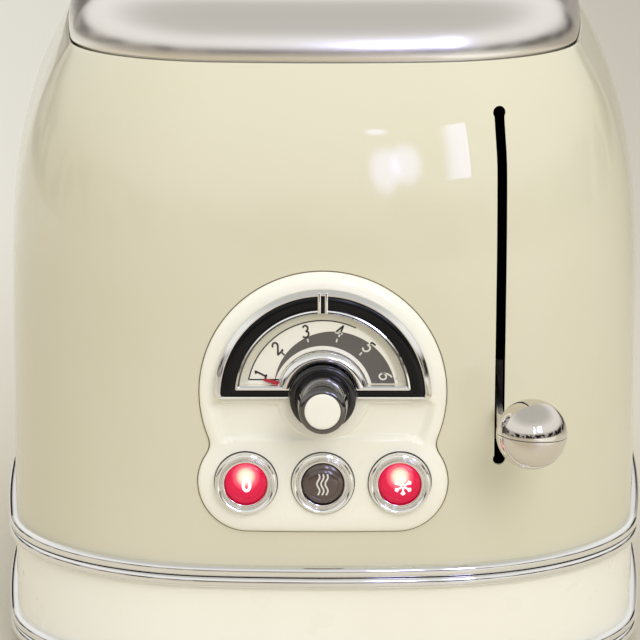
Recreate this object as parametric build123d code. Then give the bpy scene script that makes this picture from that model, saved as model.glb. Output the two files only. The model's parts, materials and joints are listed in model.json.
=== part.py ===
from build123d import *
import math
import os

# A two-slot pop-up toaster. Millimetres, +Z up, standing on Z = 0. The control end faces -Y and
# +X is to the right of someone who stands in front of the controls.

# ---------------------------------------------------------------- driving dimensions
HALF_WIDTH = 95.0        # painted body, at its widest
HALF_LENGTH = 150.0      # painted body, middle of the front to the middle
END_ARC_R = 300.0        # bow of the front and back
SIDE_ARC_R = 900.0       # bow of the two sides
CORNER_R = 66.0          # big soft corners, tangent to both bows

FOOT_H = 6.0
FLOOR_T = 2.5
SEAM_Z = 38.0            # plinth below, painted shell above
BAND_H = 6.6
BAND_PROUD = 2.2
UPPER_BAND_Z = 35.0
LOWER_BAND_Z = 6.4
SHELL_T = 1.2
PLINTH_T = 2.4
SHOULDER_Z = 97.0        # the shell is upright below this and curves in above it
RIM_Z = 182.0
RIM_INSET = 17.2
SHOULDER_POWER = 3.2
LID_TOP_Z = 199.0
LID_T = 1.0
LID_GAP = 1.5            # between the shell's rim and the lid's upright edge
LID_EDGE_H = 2.5         # height of the upright edge above the rim
LID_EDGE_R = 5.0
LID_EDGE_TURN = 42.0     # degrees turned by the small arc; the large arc turns the rest

SLOT_X = 27.0            # the two bread slots lie each side of the middle
SLOT_W = 34.0
SLOT_LEN = 150.0
SLOT_MID_Y = 5.0
SLOT_CORNER_R = 8.0
SLOT_RIM_H = 1.6

DIAL_Z = 91.2            # centre of the browning dial and of the round part of the panel
PANEL_R = 34.5
PANEL_T = 2.2
LOBE_R = 13.9
LOBE_X = 21.1
LOBE_Z = 65.5
BUTTON_Z = 66.0
BUTTON_X = 21.5
SEAT_Y = -150.6          # flat seat for the dial and the button bezels
BEZEL_R = 29.6
PLATE_R = 23.4
BEZEL_FRONT_Y = -154.8
BAR_LOW = -0.4           # the bar under the dial, measured from the dial's centre
BAR_HIGH = 2.9
HUB_R = 12.2
KNOB_HOLE_R = 9.6
SKIRT_R = 9.3
KNOB_BACK_R = 7.75
KNOB_FRONT_R = 6.5
KNOB_FRONT_Y = -173.0
POINTER_DEG = 165.0      # rest place of the pointer, anticlockwise from +X as seen from the front
POINTER_R = 17.0

LEVER_Z = 83.8
LEVER_TRAVEL = 78.0
LEVER_SLOT_X = 49.5
LEVER_SLOT_LOW = 69.3
LEVER_SLOT_HIGH = 169.6
LEVER_SLOT_W = 2.8
LEVER_BEND_Y = -153.0    # the arm leaves the slot straight and then turns to the ball
BALL_R = 9.8
BALL_X = 57.5
BALL_Y = -168.0

BULKHEAD_T = 1.0
FRONT_BULKHEAD_Y = -78.0
REAR_BULKHEAD_Y = 84.0
BULKHEAD_HALF_W = 66.0
BULKHEAD_TOP = 180.0
CHASSIS_T = 1.2
CHASSIS_TOP = SEAM_Z + CHASSIS_T
HEATER_LOW = 58.0
HEATER_HIGH = 168.0
OUTER_HEATER_X = 51.0
INNER_HEATER_X = 4.0
GUARD_REACH = 15.0       # each guard's distance from the middle of its slot
REFLECTOR_X = 60.0
ROD_X = 14.0
ROD_Y = -98.0
ROD_R = 2.0
RACK_Z = 58.0
BOARD_Y = -131.0         # front face of the control board

TRAY_Z = 14.3
TRAY_DEPTH = 8.0
TRAY_HALF_W = 56.0
TRAY_FRONT_Y = -74.0
TRAY_REAR_Y = 134.0
TRAY_T = 0.8
TRAY_LIFT = 0.3          # clearance under the tray and beside it
PULL_LIP = 5.0           # finger lip of the tray's pull, measured out from the plinth
WINDOW_HALF_W = 58.0
WINDOW_LOW = 13.8
WINDOW_HIGH = 33.0
FOOT_X = 60.0
FOOT_Y = 104.0
GLAND_DEG = 45.0         # round the rear right corner, from the middle of the back towards the side
GLAND_Z = 24.0
GLAND_FLANGE_H = 5.0
GLAND_SLEEVE_H = 12.0
CORD_HOLE_R = 3.6

# Moves everything back, so that the origin is under the middle of the box from the ball to the tray's lip.
BODY_SHIFT_Y = (BALL_R - BALL_Y - HALF_LENGTH - PULL_LIP) / 2

os.makedirs("parts", exist_ok=True)


# ---------------------------------------------------------------- the plan outline
def corner_centre():
    """Centre of the front right corner arc, tangent inside both the front bow and the side bow."""
    front = (0.0, END_ARC_R - HALF_LENGTH)
    side = (HALF_WIDTH - SIDE_ARC_R, 0.0)
    from_front, from_side = END_ARC_R - CORNER_R, SIDE_ARC_R - CORNER_R
    dx, dy = side[0] - front[0], side[1] - front[1]
    gap = math.hypot(dx, dy)
    along = (from_front**2 - from_side**2 + gap**2) / (2 * gap)
    across = math.sqrt(from_front**2 - along**2)
    ux, uy = dx / gap, dy / gap
    foot_x, foot_y = front[0] + along * ux, front[1] + along * uy
    found = [(foot_x + s * across * uy, foot_y - s * across * ux) for s in (1, -1)]
    return next(p for p in found if p[0] > 0 and p[1] < 0)


CORNER_X, CORNER_Y = corner_centre()
END_DEG = math.degrees(math.atan2(CORNER_X, END_ARC_R - HALF_LENGTH - CORNER_Y))
SIDE_DEG = math.degrees(math.atan2(-CORNER_Y, CORNER_X - HALF_WIDTH + SIDE_ARC_R))
CORNER_SWEEP = 90 - END_DEG - SIDE_DEG
FRONT_CENTRE_Y = END_ARC_R - HALF_LENGTH

# Each arc of the outline: centre x, centre y, radius, start angle and sweep, anticlockwise from the front.
ARCS = [
    (0, FRONT_CENTRE_Y, END_ARC_R, -90 - END_DEG, 2 * END_DEG),
    (CORNER_X, CORNER_Y, CORNER_R, -90 + END_DEG, CORNER_SWEEP),
    (HALF_WIDTH - SIDE_ARC_R, 0, SIDE_ARC_R, -SIDE_DEG, 2 * SIDE_DEG),
    (CORNER_X, -CORNER_Y, CORNER_R, SIDE_DEG, CORNER_SWEEP),
    (0, -FRONT_CENTRE_Y, END_ARC_R, 90 - END_DEG, 2 * END_DEG),
    (-CORNER_X, -CORNER_Y, CORNER_R, 90 + END_DEG, CORNER_SWEEP),
    (SIDE_ARC_R - HALF_WIDTH, 0, SIDE_ARC_R, 180 - SIDE_DEG, 2 * SIDE_DEG),
    (-CORNER_X, CORNER_Y, CORNER_R, 180 + SIDE_DEG, CORNER_SWEEP),
]


def profile(*edges):
    """A closed face in the XZ plane. X is the distance outside the outline and Z the height."""
    return Plane.XZ * make_face(edges)


def ring(section):
    """Carries a profile round the whole outline."""
    wedges = [
        Pos(cx, cy, 0) * Rot(0, 0, start) * revolve(Pos(radius, 0, 0) * section, Axis.Z, sweep)
        for cx, cy, radius, start, sweep in ARCS
    ]
    return wedges[0] + wedges[1:]


def slab(outset, low, high):
    """A flat plate of the outline's shape, outset millimetres larger all round."""
    edges = [CenterArc((cx, cy), radius + outset, start, sweep) for cx, cy, radius, start, sweep in ARCS]
    return Pos(0, 0, low) * extrude(make_face(edges), high - low)


def block(x_range, y_range, z_range):
    """A box from its lowest and highest coordinates."""
    sizes = [high - low for low, high in (x_range, y_range, z_range)]
    middles = [(high + low) / 2 for low, high in (x_range, y_range, z_range)]
    return Pos(*middles) * Box(*sizes)


def from_front(sketch, back_y, front_y):
    """Extrudes a sketch drawn as seen from the front, from back_y forward to front_y."""
    return extrude(Plane.XZ.offset(-back_y) * sketch, back_y - front_y)


def disc(x, z, radius, back_y, front_y):
    """A cylinder along Y."""
    return from_front(Pos(x, z) * Circle(radius), back_y, front_y)


def post(x, y, radius, low, high):
    """A cylinder along Z."""
    return Pos(x, y, (low + high) / 2) * Cylinder(radius, high - low)


def save(name, shape):
    """Writes one node, moved back so that the origin is under the middle of the toaster's box."""
    export_step(Pos(0, BODY_SHIFT_Y, 0) * shape, f"parts/{name}.step")


# ---------------------------------------------------------------- painted shell, plinth, bands
def inset(z):
    """How far the shell has curved in at height z."""
    return RIM_INSET * max(0.0, (z - SHOULDER_Z) / (RIM_Z - SHOULDER_Z)) ** SHOULDER_POWER


SHOULDER_STEPS = (0.45, 0.7, 0.87, 1.0)


def shoulder_edges(outset):
    """The shoulder as arcs that run smoothly into each other, from the upright wall to the rim."""
    edges = []
    start = (outset, SHOULDER_Z)
    tangent = (0, 1)
    for share in SHOULDER_STEPS:
        z = SHOULDER_Z + share * (RIM_Z - SHOULDER_Z)
        arc = TangentArc(start, (outset - inset(z), z), tangent=tangent)
        start, tangent = arc @ 1, arc % 1
        edges.append(arc)
    return edges


def panel_outline(grow):
    """The panel's outline as seen from the front: a disc over a row of three buttons."""
    round_part = Pos(0, DIAL_Z) * Circle(PANEL_R + grow)
    button_row = Pos(0, LOBE_Z) * SlotCenterToCenter(2 * LOBE_X, 2 * (LOBE_R + grow))
    return round_part + button_row


def body_shell():
    corners = [(0, SEAM_Z), (0, SHOULDER_Z), (-RIM_INSET, RIM_Z)]
    inner = [(x - SHELL_T, z) for x, z in corners]
    wall = profile(
        Line(corners[0], corners[1]),
        *shoulder_edges(0),
        Line(corners[2], inner[2]),
        *shoulder_edges(-SHELL_T),
        Line(inner[1], inner[0]),
        Line(inner[0], corners[0]),
    )
    shell = ring(wall)
    slot_mid = (LEVER_SLOT_LOW + LEVER_SLOT_HIGH) / 2
    end_r = LEVER_SLOT_W / 2 + 0.35
    slot = Pos(LEVER_SLOT_X, slot_mid) * Rectangle(LEVER_SLOT_W, LEVER_SLOT_HIGH - LEVER_SLOT_LOW - 2 * end_r)
    for z in (LEVER_SLOT_LOW + end_r, LEVER_SLOT_HIGH - end_r):
        slot += Pos(LEVER_SLOT_X, z) * Circle(end_r)
    shell -= from_front(slot, -110, -156)
    opening = from_front(panel_outline(-3), -140, -156)
    return shell - opening


def double_bead(low):
    """A bright strip with two rounded ridges, flat against the wall behind it."""
    half = BAND_H / 2
    edge_x, groove_x = BAND_PROUD * 0.4, BAND_PROUD * 0.6
    return profile(
        Line((0, low), (0, low + BAND_H)),
        Line((0, low + BAND_H), (edge_x, low + BAND_H)),
        ThreePointArc((edge_x, low + BAND_H), (BAND_PROUD, low + 1.5 * half), (groove_x, low + half)),
        ThreePointArc((groove_x, low + half), (BAND_PROUD, low + 0.5 * half), (edge_x, low)),
        Line((edge_x, low), (0, low)),
    )


FLANGE_IN = 13.0
RAIL_LOW_X = TRAY_HALF_W - 5
RAIL_OUT_X = TRAY_HALF_W + 3
RAIL_Y = (TRAY_FRONT_Y, 133.0)
SCREW_SPOTS = [(sx * 80, sy * 92) for sx in (-1, 1) for sy in (-1, 1)]


def plinth():
    """Moulded base: outer wall, floor, top flange, rails for the tray and a window for it at the back."""
    inner = -PLINTH_T
    wall_corners = [(0, FOOT_H), (0, SEAM_Z), (inner, SEAM_Z), (inner, FOOT_H)]
    flange_corners = [(inner, SEAM_Z - 3), (inner, SEAM_Z), (-FLANGE_IN, SEAM_Z), (-FLANGE_IN, SEAM_Z - 3)]
    wall = profile(*Polyline(*wall_corners, close=True).edges())
    flange = profile(*Polyline(*flange_corners, close=True).edges())
    shape = ring(wall) + ring(flange) + slab(-PLINTH_T + 0.1, FOOT_H, FOOT_H + FLOOR_T)
    for side in (-1, 1):
        ledge_x = sorted((side * RAIL_LOW_X, side * RAIL_OUT_X))
        guide_x = sorted((side * (TRAY_HALF_W + TRAY_LIFT), side * RAIL_OUT_X))
        shape += block(ledge_x, RAIL_Y, (FOOT_H + 1, TRAY_Z - TRAY_LIFT))
        shape += block(guide_x, RAIL_Y, (FOOT_H + 1, TRAY_Z + 5))
    shape -= block((-WINDOW_HALF_W, WINDOW_HALF_W), (RAIL_Y[1], 160), (WINDOW_LOW, WINDOW_HIGH))
    for x, y in SCREW_SPOTS:
        shape -= post(x, y, 2.0, SEAM_Z - 4, SEAM_Z + 1)
    return shape - gland_core(5.0, -6, 6)


def gland_core(radius, inner, outer):
    """A cylinder along the cord's way out of the plinth's corner, measured from the wall's outer face."""
    angle = math.radians(GLAND_DEG)
    normal = Vector(math.sin(angle), math.cos(angle), 0)
    foot = Vector(CORNER_X, -CORNER_Y, GLAND_Z) + normal * (CORNER_R + inner)
    return extrude(Plane(origin=foot, z_dir=normal) * Circle(radius), outer - inner)


def cord_gland():
    """Flexible bush that the mains lead leaves through: a flange outside the wall and a sleeve inside it."""
    flange = gland_core(7.5, -1, GLAND_FLANGE_H) - slab(0, 0, 60)
    sleeve = gland_core(5.0, -GLAND_SLEEVE_H, 1)
    return flange + sleeve - gland_core(CORD_HOLE_R, -GLAND_SLEEVE_H - 1, GLAND_FLANGE_H + 1)


# ---------------------------------------------------------------- lid
LID_X = -RIM_INSET - LID_GAP
LID_EDGE_SIN = math.sin(math.radians(LID_EDGE_TURN))
LID_EDGE_COS = math.cos(math.radians(LID_EDGE_TURN))
LID_DOME_R = (LID_TOP_Z - RIM_Z - LID_EDGE_H - LID_EDGE_R * LID_EDGE_SIN) / (1 - LID_EDGE_SIN)


def lid_wall(depth):
    """The lid's section, depth millimetres inside its outer face: upright edge, small arc, large arc."""
    edge_z = RIM_Z + LID_EDGE_H
    edge_centre = (LID_X - LID_EDGE_R, edge_z)
    dome_x = edge_centre[0] - (LID_DOME_R - LID_EDGE_R) * LID_EDGE_COS
    small_r = LID_EDGE_R - depth
    foot_point = (LID_X - depth, RIM_Z - 4)
    edge_top = (LID_X - depth, edge_z)
    join = (edge_centre[0] + small_r * LID_EDGE_COS, edge_z + small_r * LID_EDGE_SIN)
    top = (dome_x, LID_TOP_Z - depth)
    small = TangentArc(edge_top, join, tangent=(0, 1))
    large = TangentArc(join, top, tangent=(-LID_EDGE_SIN, LID_EDGE_COS))
    return [foot_point, edge_top, top], [Line(foot_point, edge_top), small, large]


def lid_dome():
    """A shell of even thickness, closed over the top by a flat plate."""
    outer_points, outer_edges = lid_wall(0)
    inner_points, inner_edges = lid_wall(LID_T)
    section = profile(
        *outer_edges,
        Line(outer_points[2], inner_points[2]),
        *inner_edges,
        Line(inner_points[0], outer_points[0]),
    )
    return ring(section) + slab(outer_points[2][0], LID_TOP_Z - LID_T, LID_TOP_Z)


def slot_prism(x, grow, low, high):
    shape = RectangleRounded(SLOT_W + 2 * grow, SLOT_LEN + 2 * grow, SLOT_CORNER_R + grow)
    return Pos(x, SLOT_MID_Y, low) * extrude(shape, high - low)


def lid():
    """Bright top cover with two bread slots, each with a raised lip and a collar that turns down inside."""
    shape = lid_dome()
    for x in (-SLOT_X, SLOT_X):
        shape += slot_prism(x, 2.2, LID_TOP_Z - LID_T, LID_TOP_Z + SLOT_RIM_H)
        shape += slot_prism(x, 1.0, LID_TOP_Z - 8, LID_TOP_Z)
    for x in (-SLOT_X, SLOT_X):
        shape -= slot_prism(x, 0, LID_TOP_Z - 20, LID_TOP_Z + 5)
    return shape


# ---------------------------------------------------------------- control panel, dial and buttons
def bow(inner, outer):
    """The space between two arcs concentric with the front bow."""
    between = Circle(END_ARC_R + outer) - Circle(END_ARC_R + inner)
    return Pos(0, FRONT_CENTRE_Y, 40) * extrude(between, 100)


BOSS_SPOTS = [(-22, DIAL_Z + 15), (22, DIAL_Z + 15), (-10.6, BUTTON_Z - 7.5), (10.6, BUTTON_Z - 7.5)]
BEZEL_SLEEVE_R = 7.4
BEZEL_OUT_R = 8.7
BUTTON_HOLE_R = 6.0


def half_disc(radius, low):
    """The part of a disc round the dial's centre that is above a given height, as seen from the front."""
    keep = Pos(0, DIAL_Z + low + radius) * Rectangle(4 * radius, 2 * radius)
    return (Pos(0, DIAL_Z) * Circle(radius)) & keep


def control_panel():
    """Moulded fascia: a rim that lies on the shell, a plug in the shell's opening, seats and bosses."""
    rim = from_front(panel_outline(0), -140, -160) & bow(0, PANEL_T)
    plug = from_front(panel_outline(-3.3), -140, -160) & bow(-2.5, 0.5)
    shape = rim + plug
    for x, z in BOSS_SPOTS:
        shape += disc(x, z, 3.0, BOARD_Y, -148.5)
    shape -= from_front(half_disc(BEZEL_R, BAR_LOW), SEAT_Y, -160)
    shape -= disc(0, DIAL_Z, KNOB_HOLE_R, SEAT_Y, -160)
    shape -= disc(0, DIAL_Z, 5.2, -140, -160)
    for x in (-BUTTON_X, 0, BUTTON_X):
        shape -= disc(x, BUTTON_Z, BEZEL_OUT_R, SEAT_Y, -160)
        shape -= disc(x, BUTTON_Z, BEZEL_SLEEVE_R, -140, -160)
    for x, z in BOSS_SPOTS:
        shape -= disc(x, z, 1.2, BOARD_Y, BOARD_Y - 8)
    return shape


def dial_bezel():
    """Bright frame of the dial: half ring, bar and the small half ring round the knob, in one moulding."""
    whole = half_disc(BEZEL_R, BAR_LOW)
    window = half_disc(PLATE_R, BAR_HIGH)
    hub = half_disc(HUB_R, BAR_LOW)
    frame = from_front(whole - window, SEAT_Y, BEZEL_FRONT_Y)
    slope = from_front(half_disc(PLATE_R + 4, BAR_HIGH - 1.2), BEZEL_FRONT_Y + 1.2, BEZEL_FRONT_Y - 1)
    frame = frame - slope
    frame += from_front(hub, SEAT_Y - 1.9, BEZEL_FRONT_Y + 0.2)
    frame -= disc(0, DIAL_Z, KNOB_HOLE_R, SEAT_Y + 1, BEZEL_FRONT_Y - 2)
    return frame - disc(0, DIAL_Z, HUB_R + 2.3, SEAT_Y + 1, SEAT_Y - 1.9)


def dial_plate():
    """Printed scale plate behind the bezel."""
    plate = from_front(half_disc(PLATE_R - 0.1, BAR_HIGH + 0.1), SEAT_Y, SEAT_Y - 1.0)
    return plate - disc(0, DIAL_Z, KNOB_HOLE_R, SEAT_Y + 1, SEAT_Y - 2)


POINTER_BACK_Y = SEAT_Y - 1.2
POINTER_T = 0.4


def dial_pointer():
    """Red needle on a small disc that turns behind the knob's skirt and under the bezel's inner half ring."""
    needle = Polygon((8, -0.8), (POINTER_R, -0.35), (POINTER_R, 0.35), (8, 0.8), align=None)
    hub = disc(0, DIAL_Z, SKIRT_R - 0.2, POINTER_BACK_Y, POINTER_BACK_Y - POINTER_T)
    turned = Pos(0, DIAL_Z) * Rot(0, 0, POINTER_DEG) * needle
    arm = from_front(turned, POINTER_BACK_Y, POINTER_BACK_Y - POINTER_T)
    return hub + arm - disc(0, DIAL_Z, 3.0, -140, -160)


SKIRT_BACK_Y = -152.3
SKIRT_FRONT_Y = -157.0


def knob_skirt():
    """Dark collar between the bezel and the bright knob."""
    return disc(0, DIAL_Z, SKIRT_R, SKIRT_BACK_Y, SKIRT_FRONT_Y) - disc(0, DIAL_Z, 3.0, -140, -160)


def browning_knob():
    """Bright tapered knob with a flat end and a rounded edge, bored for the control's spindle."""
    length = SKIRT_FRONT_Y - KNOB_FRONT_Y
    round_r = 0.8
    section = make_face(
        [
            *Polyline((0, 0), (KNOB_BACK_R, 0), (KNOB_FRONT_R, length - round_r)).edges(),
            ThreePointArc(
                (KNOB_FRONT_R, length - round_r),
                (KNOB_FRONT_R - 0.23, length - 0.23),
                (KNOB_FRONT_R - round_r, length),
            ),
            *Polyline((KNOB_FRONT_R - round_r, length), (0, length), (0, 0)).edges(),
        ]
    )
    solid = revolve(Plane.XZ * section, Axis.Z)
    knob = Pos(0, SKIRT_FRONT_Y, DIAL_Z) * Rot(90, 0, 0) * solid
    return knob - disc(0, DIAL_Z, 3.0, -150, KNOB_FRONT_Y + 4)


def control_spindle():
    """The turning spindle of the browning control, which carries the pointer, skirt and knob."""
    return disc(0, DIAL_Z, 3.0, BOARD_Y - 3, KNOB_FRONT_Y + 4)


def browning_control():
    """Rotary control on the board, with a threaded neck round the spindle."""
    body = disc(0, DIAL_Z, 8.5, BOARD_Y, BOARD_Y - 8)
    neck = disc(0, DIAL_Z, 4.4, BOARD_Y - 8, BOARD_Y - 14)
    return body + neck - disc(0, DIAL_Z, 3.05, BOARD_Y - 3, BOARD_Y - 20)


def button_bezel(x):
    """Bright ring round a button: a half-round flange on the panel and a sleeve through it."""
    middle_r = (BEZEL_OUT_R + BUTTON_HOLE_R) / 2
    front_y = -154.2
    section = make_face(
        [
            *Polyline(
                (BUTTON_HOLE_R, -4.5), (BEZEL_SLEEVE_R, -4.5), (BEZEL_SLEEVE_R, 0), (BEZEL_OUT_R, 0)
            ).edges(),
            Line((BEZEL_OUT_R, 0), (BEZEL_OUT_R, 1.6)),
            ThreePointArc((BEZEL_OUT_R, 1.6), (middle_r, SEAT_Y - front_y), (BUTTON_HOLE_R, 1.6)),
            Line((BUTTON_HOLE_R, 1.6), (BUTTON_HOLE_R, -4.5)),
        ]
    )
    return Pos(x, SEAT_Y, BUTTON_Z) * Rot(90, 0, 0) * revolve(Plane.XZ * section, Axis.Z)


BUTTON_R = 5.7
BUTTON_FRONT_Y = -153.2
STEM_END_Y = -137.3


def button_cap(x):
    """Translucent push button with its stem."""
    cap = disc(x, BUTTON_Z, BUTTON_R, -147.5, BUTTON_FRONT_Y)
    return cap + disc(x, BUTTON_Z, 2.4, STEM_END_Y, -147.5)


def control_board():
    board = block((-34, 34), (BOARD_Y, BOARD_Y + 1.6), (51, DIAL_Z + 27))
    for x, z in BOSS_SPOTS:
        board -= disc(x, z, 1.2, BOARD_Y + 3, BOARD_Y - 1)
    return board


def board_screws():
    screws = []
    for x, z in BOSS_SPOTS:
        shank = disc(x, z, 1.2, BOARD_Y + 1.6, BOARD_Y - 7)
        screws.append(shank + disc(x, z, 2.6, BOARD_Y + 3.2, BOARD_Y + 1.6))
    return Compound(screws)


def tact_switches():
    switches = []
    for x in (-BUTTON_X, 0, BUTTON_X):
        case = block((x - 3, x + 3), (BOARD_Y - 3.5, BOARD_Y), (BUTTON_Z - 3, BUTTON_Z + 3))
        switches.append(case + disc(x, BUTTON_Z, 1.75, BOARD_Y - 3.5, BOARD_Y - 4.6))
    return Compound(switches)


# ---------------------------------------------------------------- lever, carriage and racks
ARM_T = 1.6
ARM_H = 5.0
CARRIAGE_Y = -90.0
CARRIAGE_T = 1.6
RACK_T = 2.0
RACK_H = 8.0
SPRING_X = 22.0
SPRING_R = 3.0
SPRING_WIRE_R = 0.4
SPRING_TURNS = 18


def lever_arm():
    """Flat steel arm, straight through the slot and then turned outwards to the ball."""
    slant_x, slant_y = BALL_X - LEVER_SLOT_X, BALL_Y - LEVER_BEND_Y
    slant = math.hypot(slant_x, slant_y)
    turn = math.degrees(math.atan2(slant_x, -slant_y))
    straight = block(
        (LEVER_SLOT_X - ARM_T / 2, LEVER_SLOT_X + ARM_T / 2),
        (LEVER_BEND_Y, CARRIAGE_Y),
        (LEVER_Z - ARM_H / 2, LEVER_Z + ARM_H / 2),
    )
    middle = Pos(LEVER_SLOT_X + slant_x / 2, LEVER_BEND_Y + slant_y / 2, LEVER_Z)
    slanted = middle * Rot(0, 0, turn) * Box(ARM_T, slant + 0.8, ARM_H)
    return straight + slanted


def ball_half(side):
    """Half of the lever's ball, above or below the parting line, hollowed for the arm."""
    ball = Pos(BALL_X, BALL_Y, LEVER_Z) * Sphere(BALL_R)
    keep = block((0, 100), (-200, -140), sorted((LEVER_Z, LEVER_Z + side * 20)))
    return (ball & keep) - lever_arm()


def carriage():
    """Pressed plate that joins the lever to the two bread racks."""
    low, high = RACK_Z - 2, RACK_Z + 14
    plate = block((-SLOT_X - 5, SLOT_X + 12), (CARRIAGE_Y, CARRIAGE_Y + CARRIAGE_T), (low, high))
    plate += block((SLOT_X, LEVER_SLOT_X + 3), (CARRIAGE_Y, CARRIAGE_Y + CARRIAGE_T), (high - 8, LEVER_Z + 4))
    shelf = block((-SPRING_X - 4, SPRING_X + 4), (ROD_Y - 6, CARRIAGE_Y), (high - CARRIAGE_T, high))
    plate += shelf
    for x in (-ROD_X, ROD_X):
        plate -= post(x, ROD_Y, 4.0, low, high + 5)
    return plate


def carriage_bushes():
    """Plastic bushes that run on the guide rods."""
    z = RACK_Z + 14 - CARRIAGE_T / 2
    bushes = []
    for x in (-ROD_X, ROD_X):
        bushes.append(post(x, ROD_Y, 4.0, z - 8, z + 8) - post(x, ROD_Y, ROD_R + 0.08, z - 9, z + 9))
    return Compound(bushes)


def bread_rack(x):
    """Strip that runs through both bulkheads, with five cradles for the slice."""
    rear_end = REAR_BULKHEAD_Y + 6
    front_end = CARRIAGE_Y + CARRIAGE_T
    rack = block((x - RACK_T / 2, x + RACK_T / 2), (front_end, rear_end), (RACK_Z, RACK_Z + RACK_H))
    for i in range(5):
        y = SLOT_MID_Y - 56 + 28 * i
        cradle = Polyline((x - 11, 5), (x - 11, 8), (x, 5), (x + 11, 8), (x + 11, 5), (x, 2), close=True)
        rack += extrude(Plane.XZ.offset(-y) * (Pos(0, RACK_Z) * make_face(cradle)), 1.0, both=True)
    return rack


def guide_rod(x):
    return post(x, ROD_Y, ROD_R, CHASSIS_TOP, BULKHEAD_TOP - 6)


def rod_bracket():
    """Angle at the top of the front bulkhead that holds the upper ends of the rods and springs."""
    top = BULKHEAD_TOP - 6
    across = (-ROD_X - 14, ROD_X + 14)
    plate = block(across, (ROD_Y - 6, FRONT_BULKHEAD_Y - 1.5), (top, top + 1.5))
    return plate + block(across, (FRONT_BULKHEAD_Y - 1.5, FRONT_BULKHEAD_Y), (top - 12, top + 1.5))


def return_springs():
    """Extension springs from the carriage's shelf up to the bracket, drawn stretched."""
    low = RACK_Z + 14 + SPRING_WIRE_R
    high = BULKHEAD_TOP - 6 - SPRING_WIRE_R
    path = Pos(0, 0, low) * Helix((high - low) / SPRING_TURNS, high - low, SPRING_R)
    section = Plane(origin=path @ 0, z_dir=path % 0) * Circle(SPRING_WIRE_R)
    coil = sweep(section, path, is_frenet=True)
    return Compound([Pos(x, ROD_Y, 0) * coil for x in (-SPRING_X, SPRING_X)])


MAGNET_X = -44.0
POLE_TOP = RACK_Z - 4.2


def magnet_core():
    """Iron core of the latch magnet, standing on the chassis: a pole each side of the coil."""
    core = block((MAGNET_X - 10, MAGNET_X + 10), (-104, -92), (CHASSIS_TOP, CHASSIS_TOP + 3))
    core += block((MAGNET_X - 10, MAGNET_X - 8), (-104, -92), (CHASSIS_TOP + 3, POLE_TOP))
    core += block((MAGNET_X + 8, MAGNET_X + 10), (-104, -92), (CHASSIS_TOP + 3, POLE_TOP))
    return core + post(MAGNET_X, -98, 2.5, CHASSIS_TOP + 3, POLE_TOP)


def magnet_coil():
    winding = post(MAGNET_X, -98, 7.0, CHASSIS_TOP + 3, POLE_TOP - 2)
    return winding - post(MAGNET_X, -98, 2.5, CHASSIS_TOP, RACK_Z)


def latch_keeper():
    """Soft iron plate on the carriage that the magnet holds while the toast is down."""
    keeper = block((MAGNET_X - 10, MAGNET_X + 10), (-104, -92), (RACK_Z - 4, RACK_Z - 2))
    tab = block((MAGNET_X - 4, -SLOT_X - 5), (CARRIAGE_Y, CARRIAGE_Y + CARRIAGE_T), (RACK_Z - 2, RACK_Z + 6))
    link = block((MAGNET_X - 4, MAGNET_X + 6), (-100, CARRIAGE_Y + CARRIAGE_T), (RACK_Z - 2, RACK_Z - 0.4))
    return keeper + link + tab


# ---------------------------------------------------------------- chassis and heating chamber
def chassis_plate(y_range):
    """End plate of the chassis, on the plinth's flange under a bulkhead."""
    plate = slab(-PLINTH_T - 0.2, SEAM_Z, CHASSIS_TOP) & block((-100, 100), y_range, (30, 50))
    for x, y in SCREW_SPOTS:
        plate -= post(x, y, 2.0, SEAM_Z - 1, SEAM_Z + 5)
    return plate


def chassis_screws():
    """Screws up through the plinth's flange into the chassis plates."""
    spots = []
    for x, y in SCREW_SPOTS:
        spots.append(post(x, y, 2.0, SEAM_Z - 3, CHASSIS_TOP + 3) + post(x, y, 4.0, SEAM_Z - 5.2, SEAM_Z - 3))
    return Compound(spots)


def bulkhead(low_y, slit_low):
    """Upright end wall of the heating chamber, with a slit for each bread rack."""
    across = (-BULKHEAD_HALF_W, BULKHEAD_HALF_W)
    plate = block(across, (low_y, low_y + BULKHEAD_T), (CHASSIS_TOP, BULKHEAD_TOP))
    slit_high = RACK_Z + RACK_H + LEVER_TRAVEL + 4
    for x in (-SLOT_X, SLOT_X):
        plate -= block((x - 2.2, x + 2.2), (low_y - 1, low_y + 2), (slit_low, slit_high))
    return plate


CHAMBER_Y = (FRONT_BULKHEAD_Y + BULKHEAD_T, REAR_BULKHEAD_Y)


def heater_board(x):
    """Mica card between the bulkheads."""
    return block((x - 0.4, x + 0.4), CHAMBER_Y, (HEATER_LOW, HEATER_HIGH))


RIBBON_ROWS = 12


def heater_ribbon(x, facing):
    """Flat resistance ribbon on the slot side of a mica card, in rows with a link at alternate ends."""
    face = x + 0.4 * facing
    depth = sorted((face, face + 0.3 * facing))
    pitch = (HEATER_HIGH - HEATER_LOW - 16) / (RIBBON_ROWS - 1)
    low_y, high_y = CHAMBER_Y[0] + 8, CHAMBER_Y[1] - 8
    ribbon = []
    for i in range(RIBBON_ROWS):
        z = HEATER_LOW + 8 + pitch * i
        ribbon.append(block(depth, (low_y, high_y), (z - 0.8, z + 0.8)))
        if i < RIBBON_ROWS - 1:
            end = (high_y - 1.6, high_y) if i % 2 == 0 else (low_y, low_y + 1.6)
            ribbon.append(block(depth, end, (z + 0.8, z + pitch - 0.8)))
    return ribbon[0] + ribbon[1:]


GUARD_ROWS = (CHASSIS_TOP + 8, 110.0, BULKHEAD_TOP - 3)
GUARD_WIRES = 8
GUARD_ROW_R = 1.1
GUARD_WIRE_R = 0.9


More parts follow.
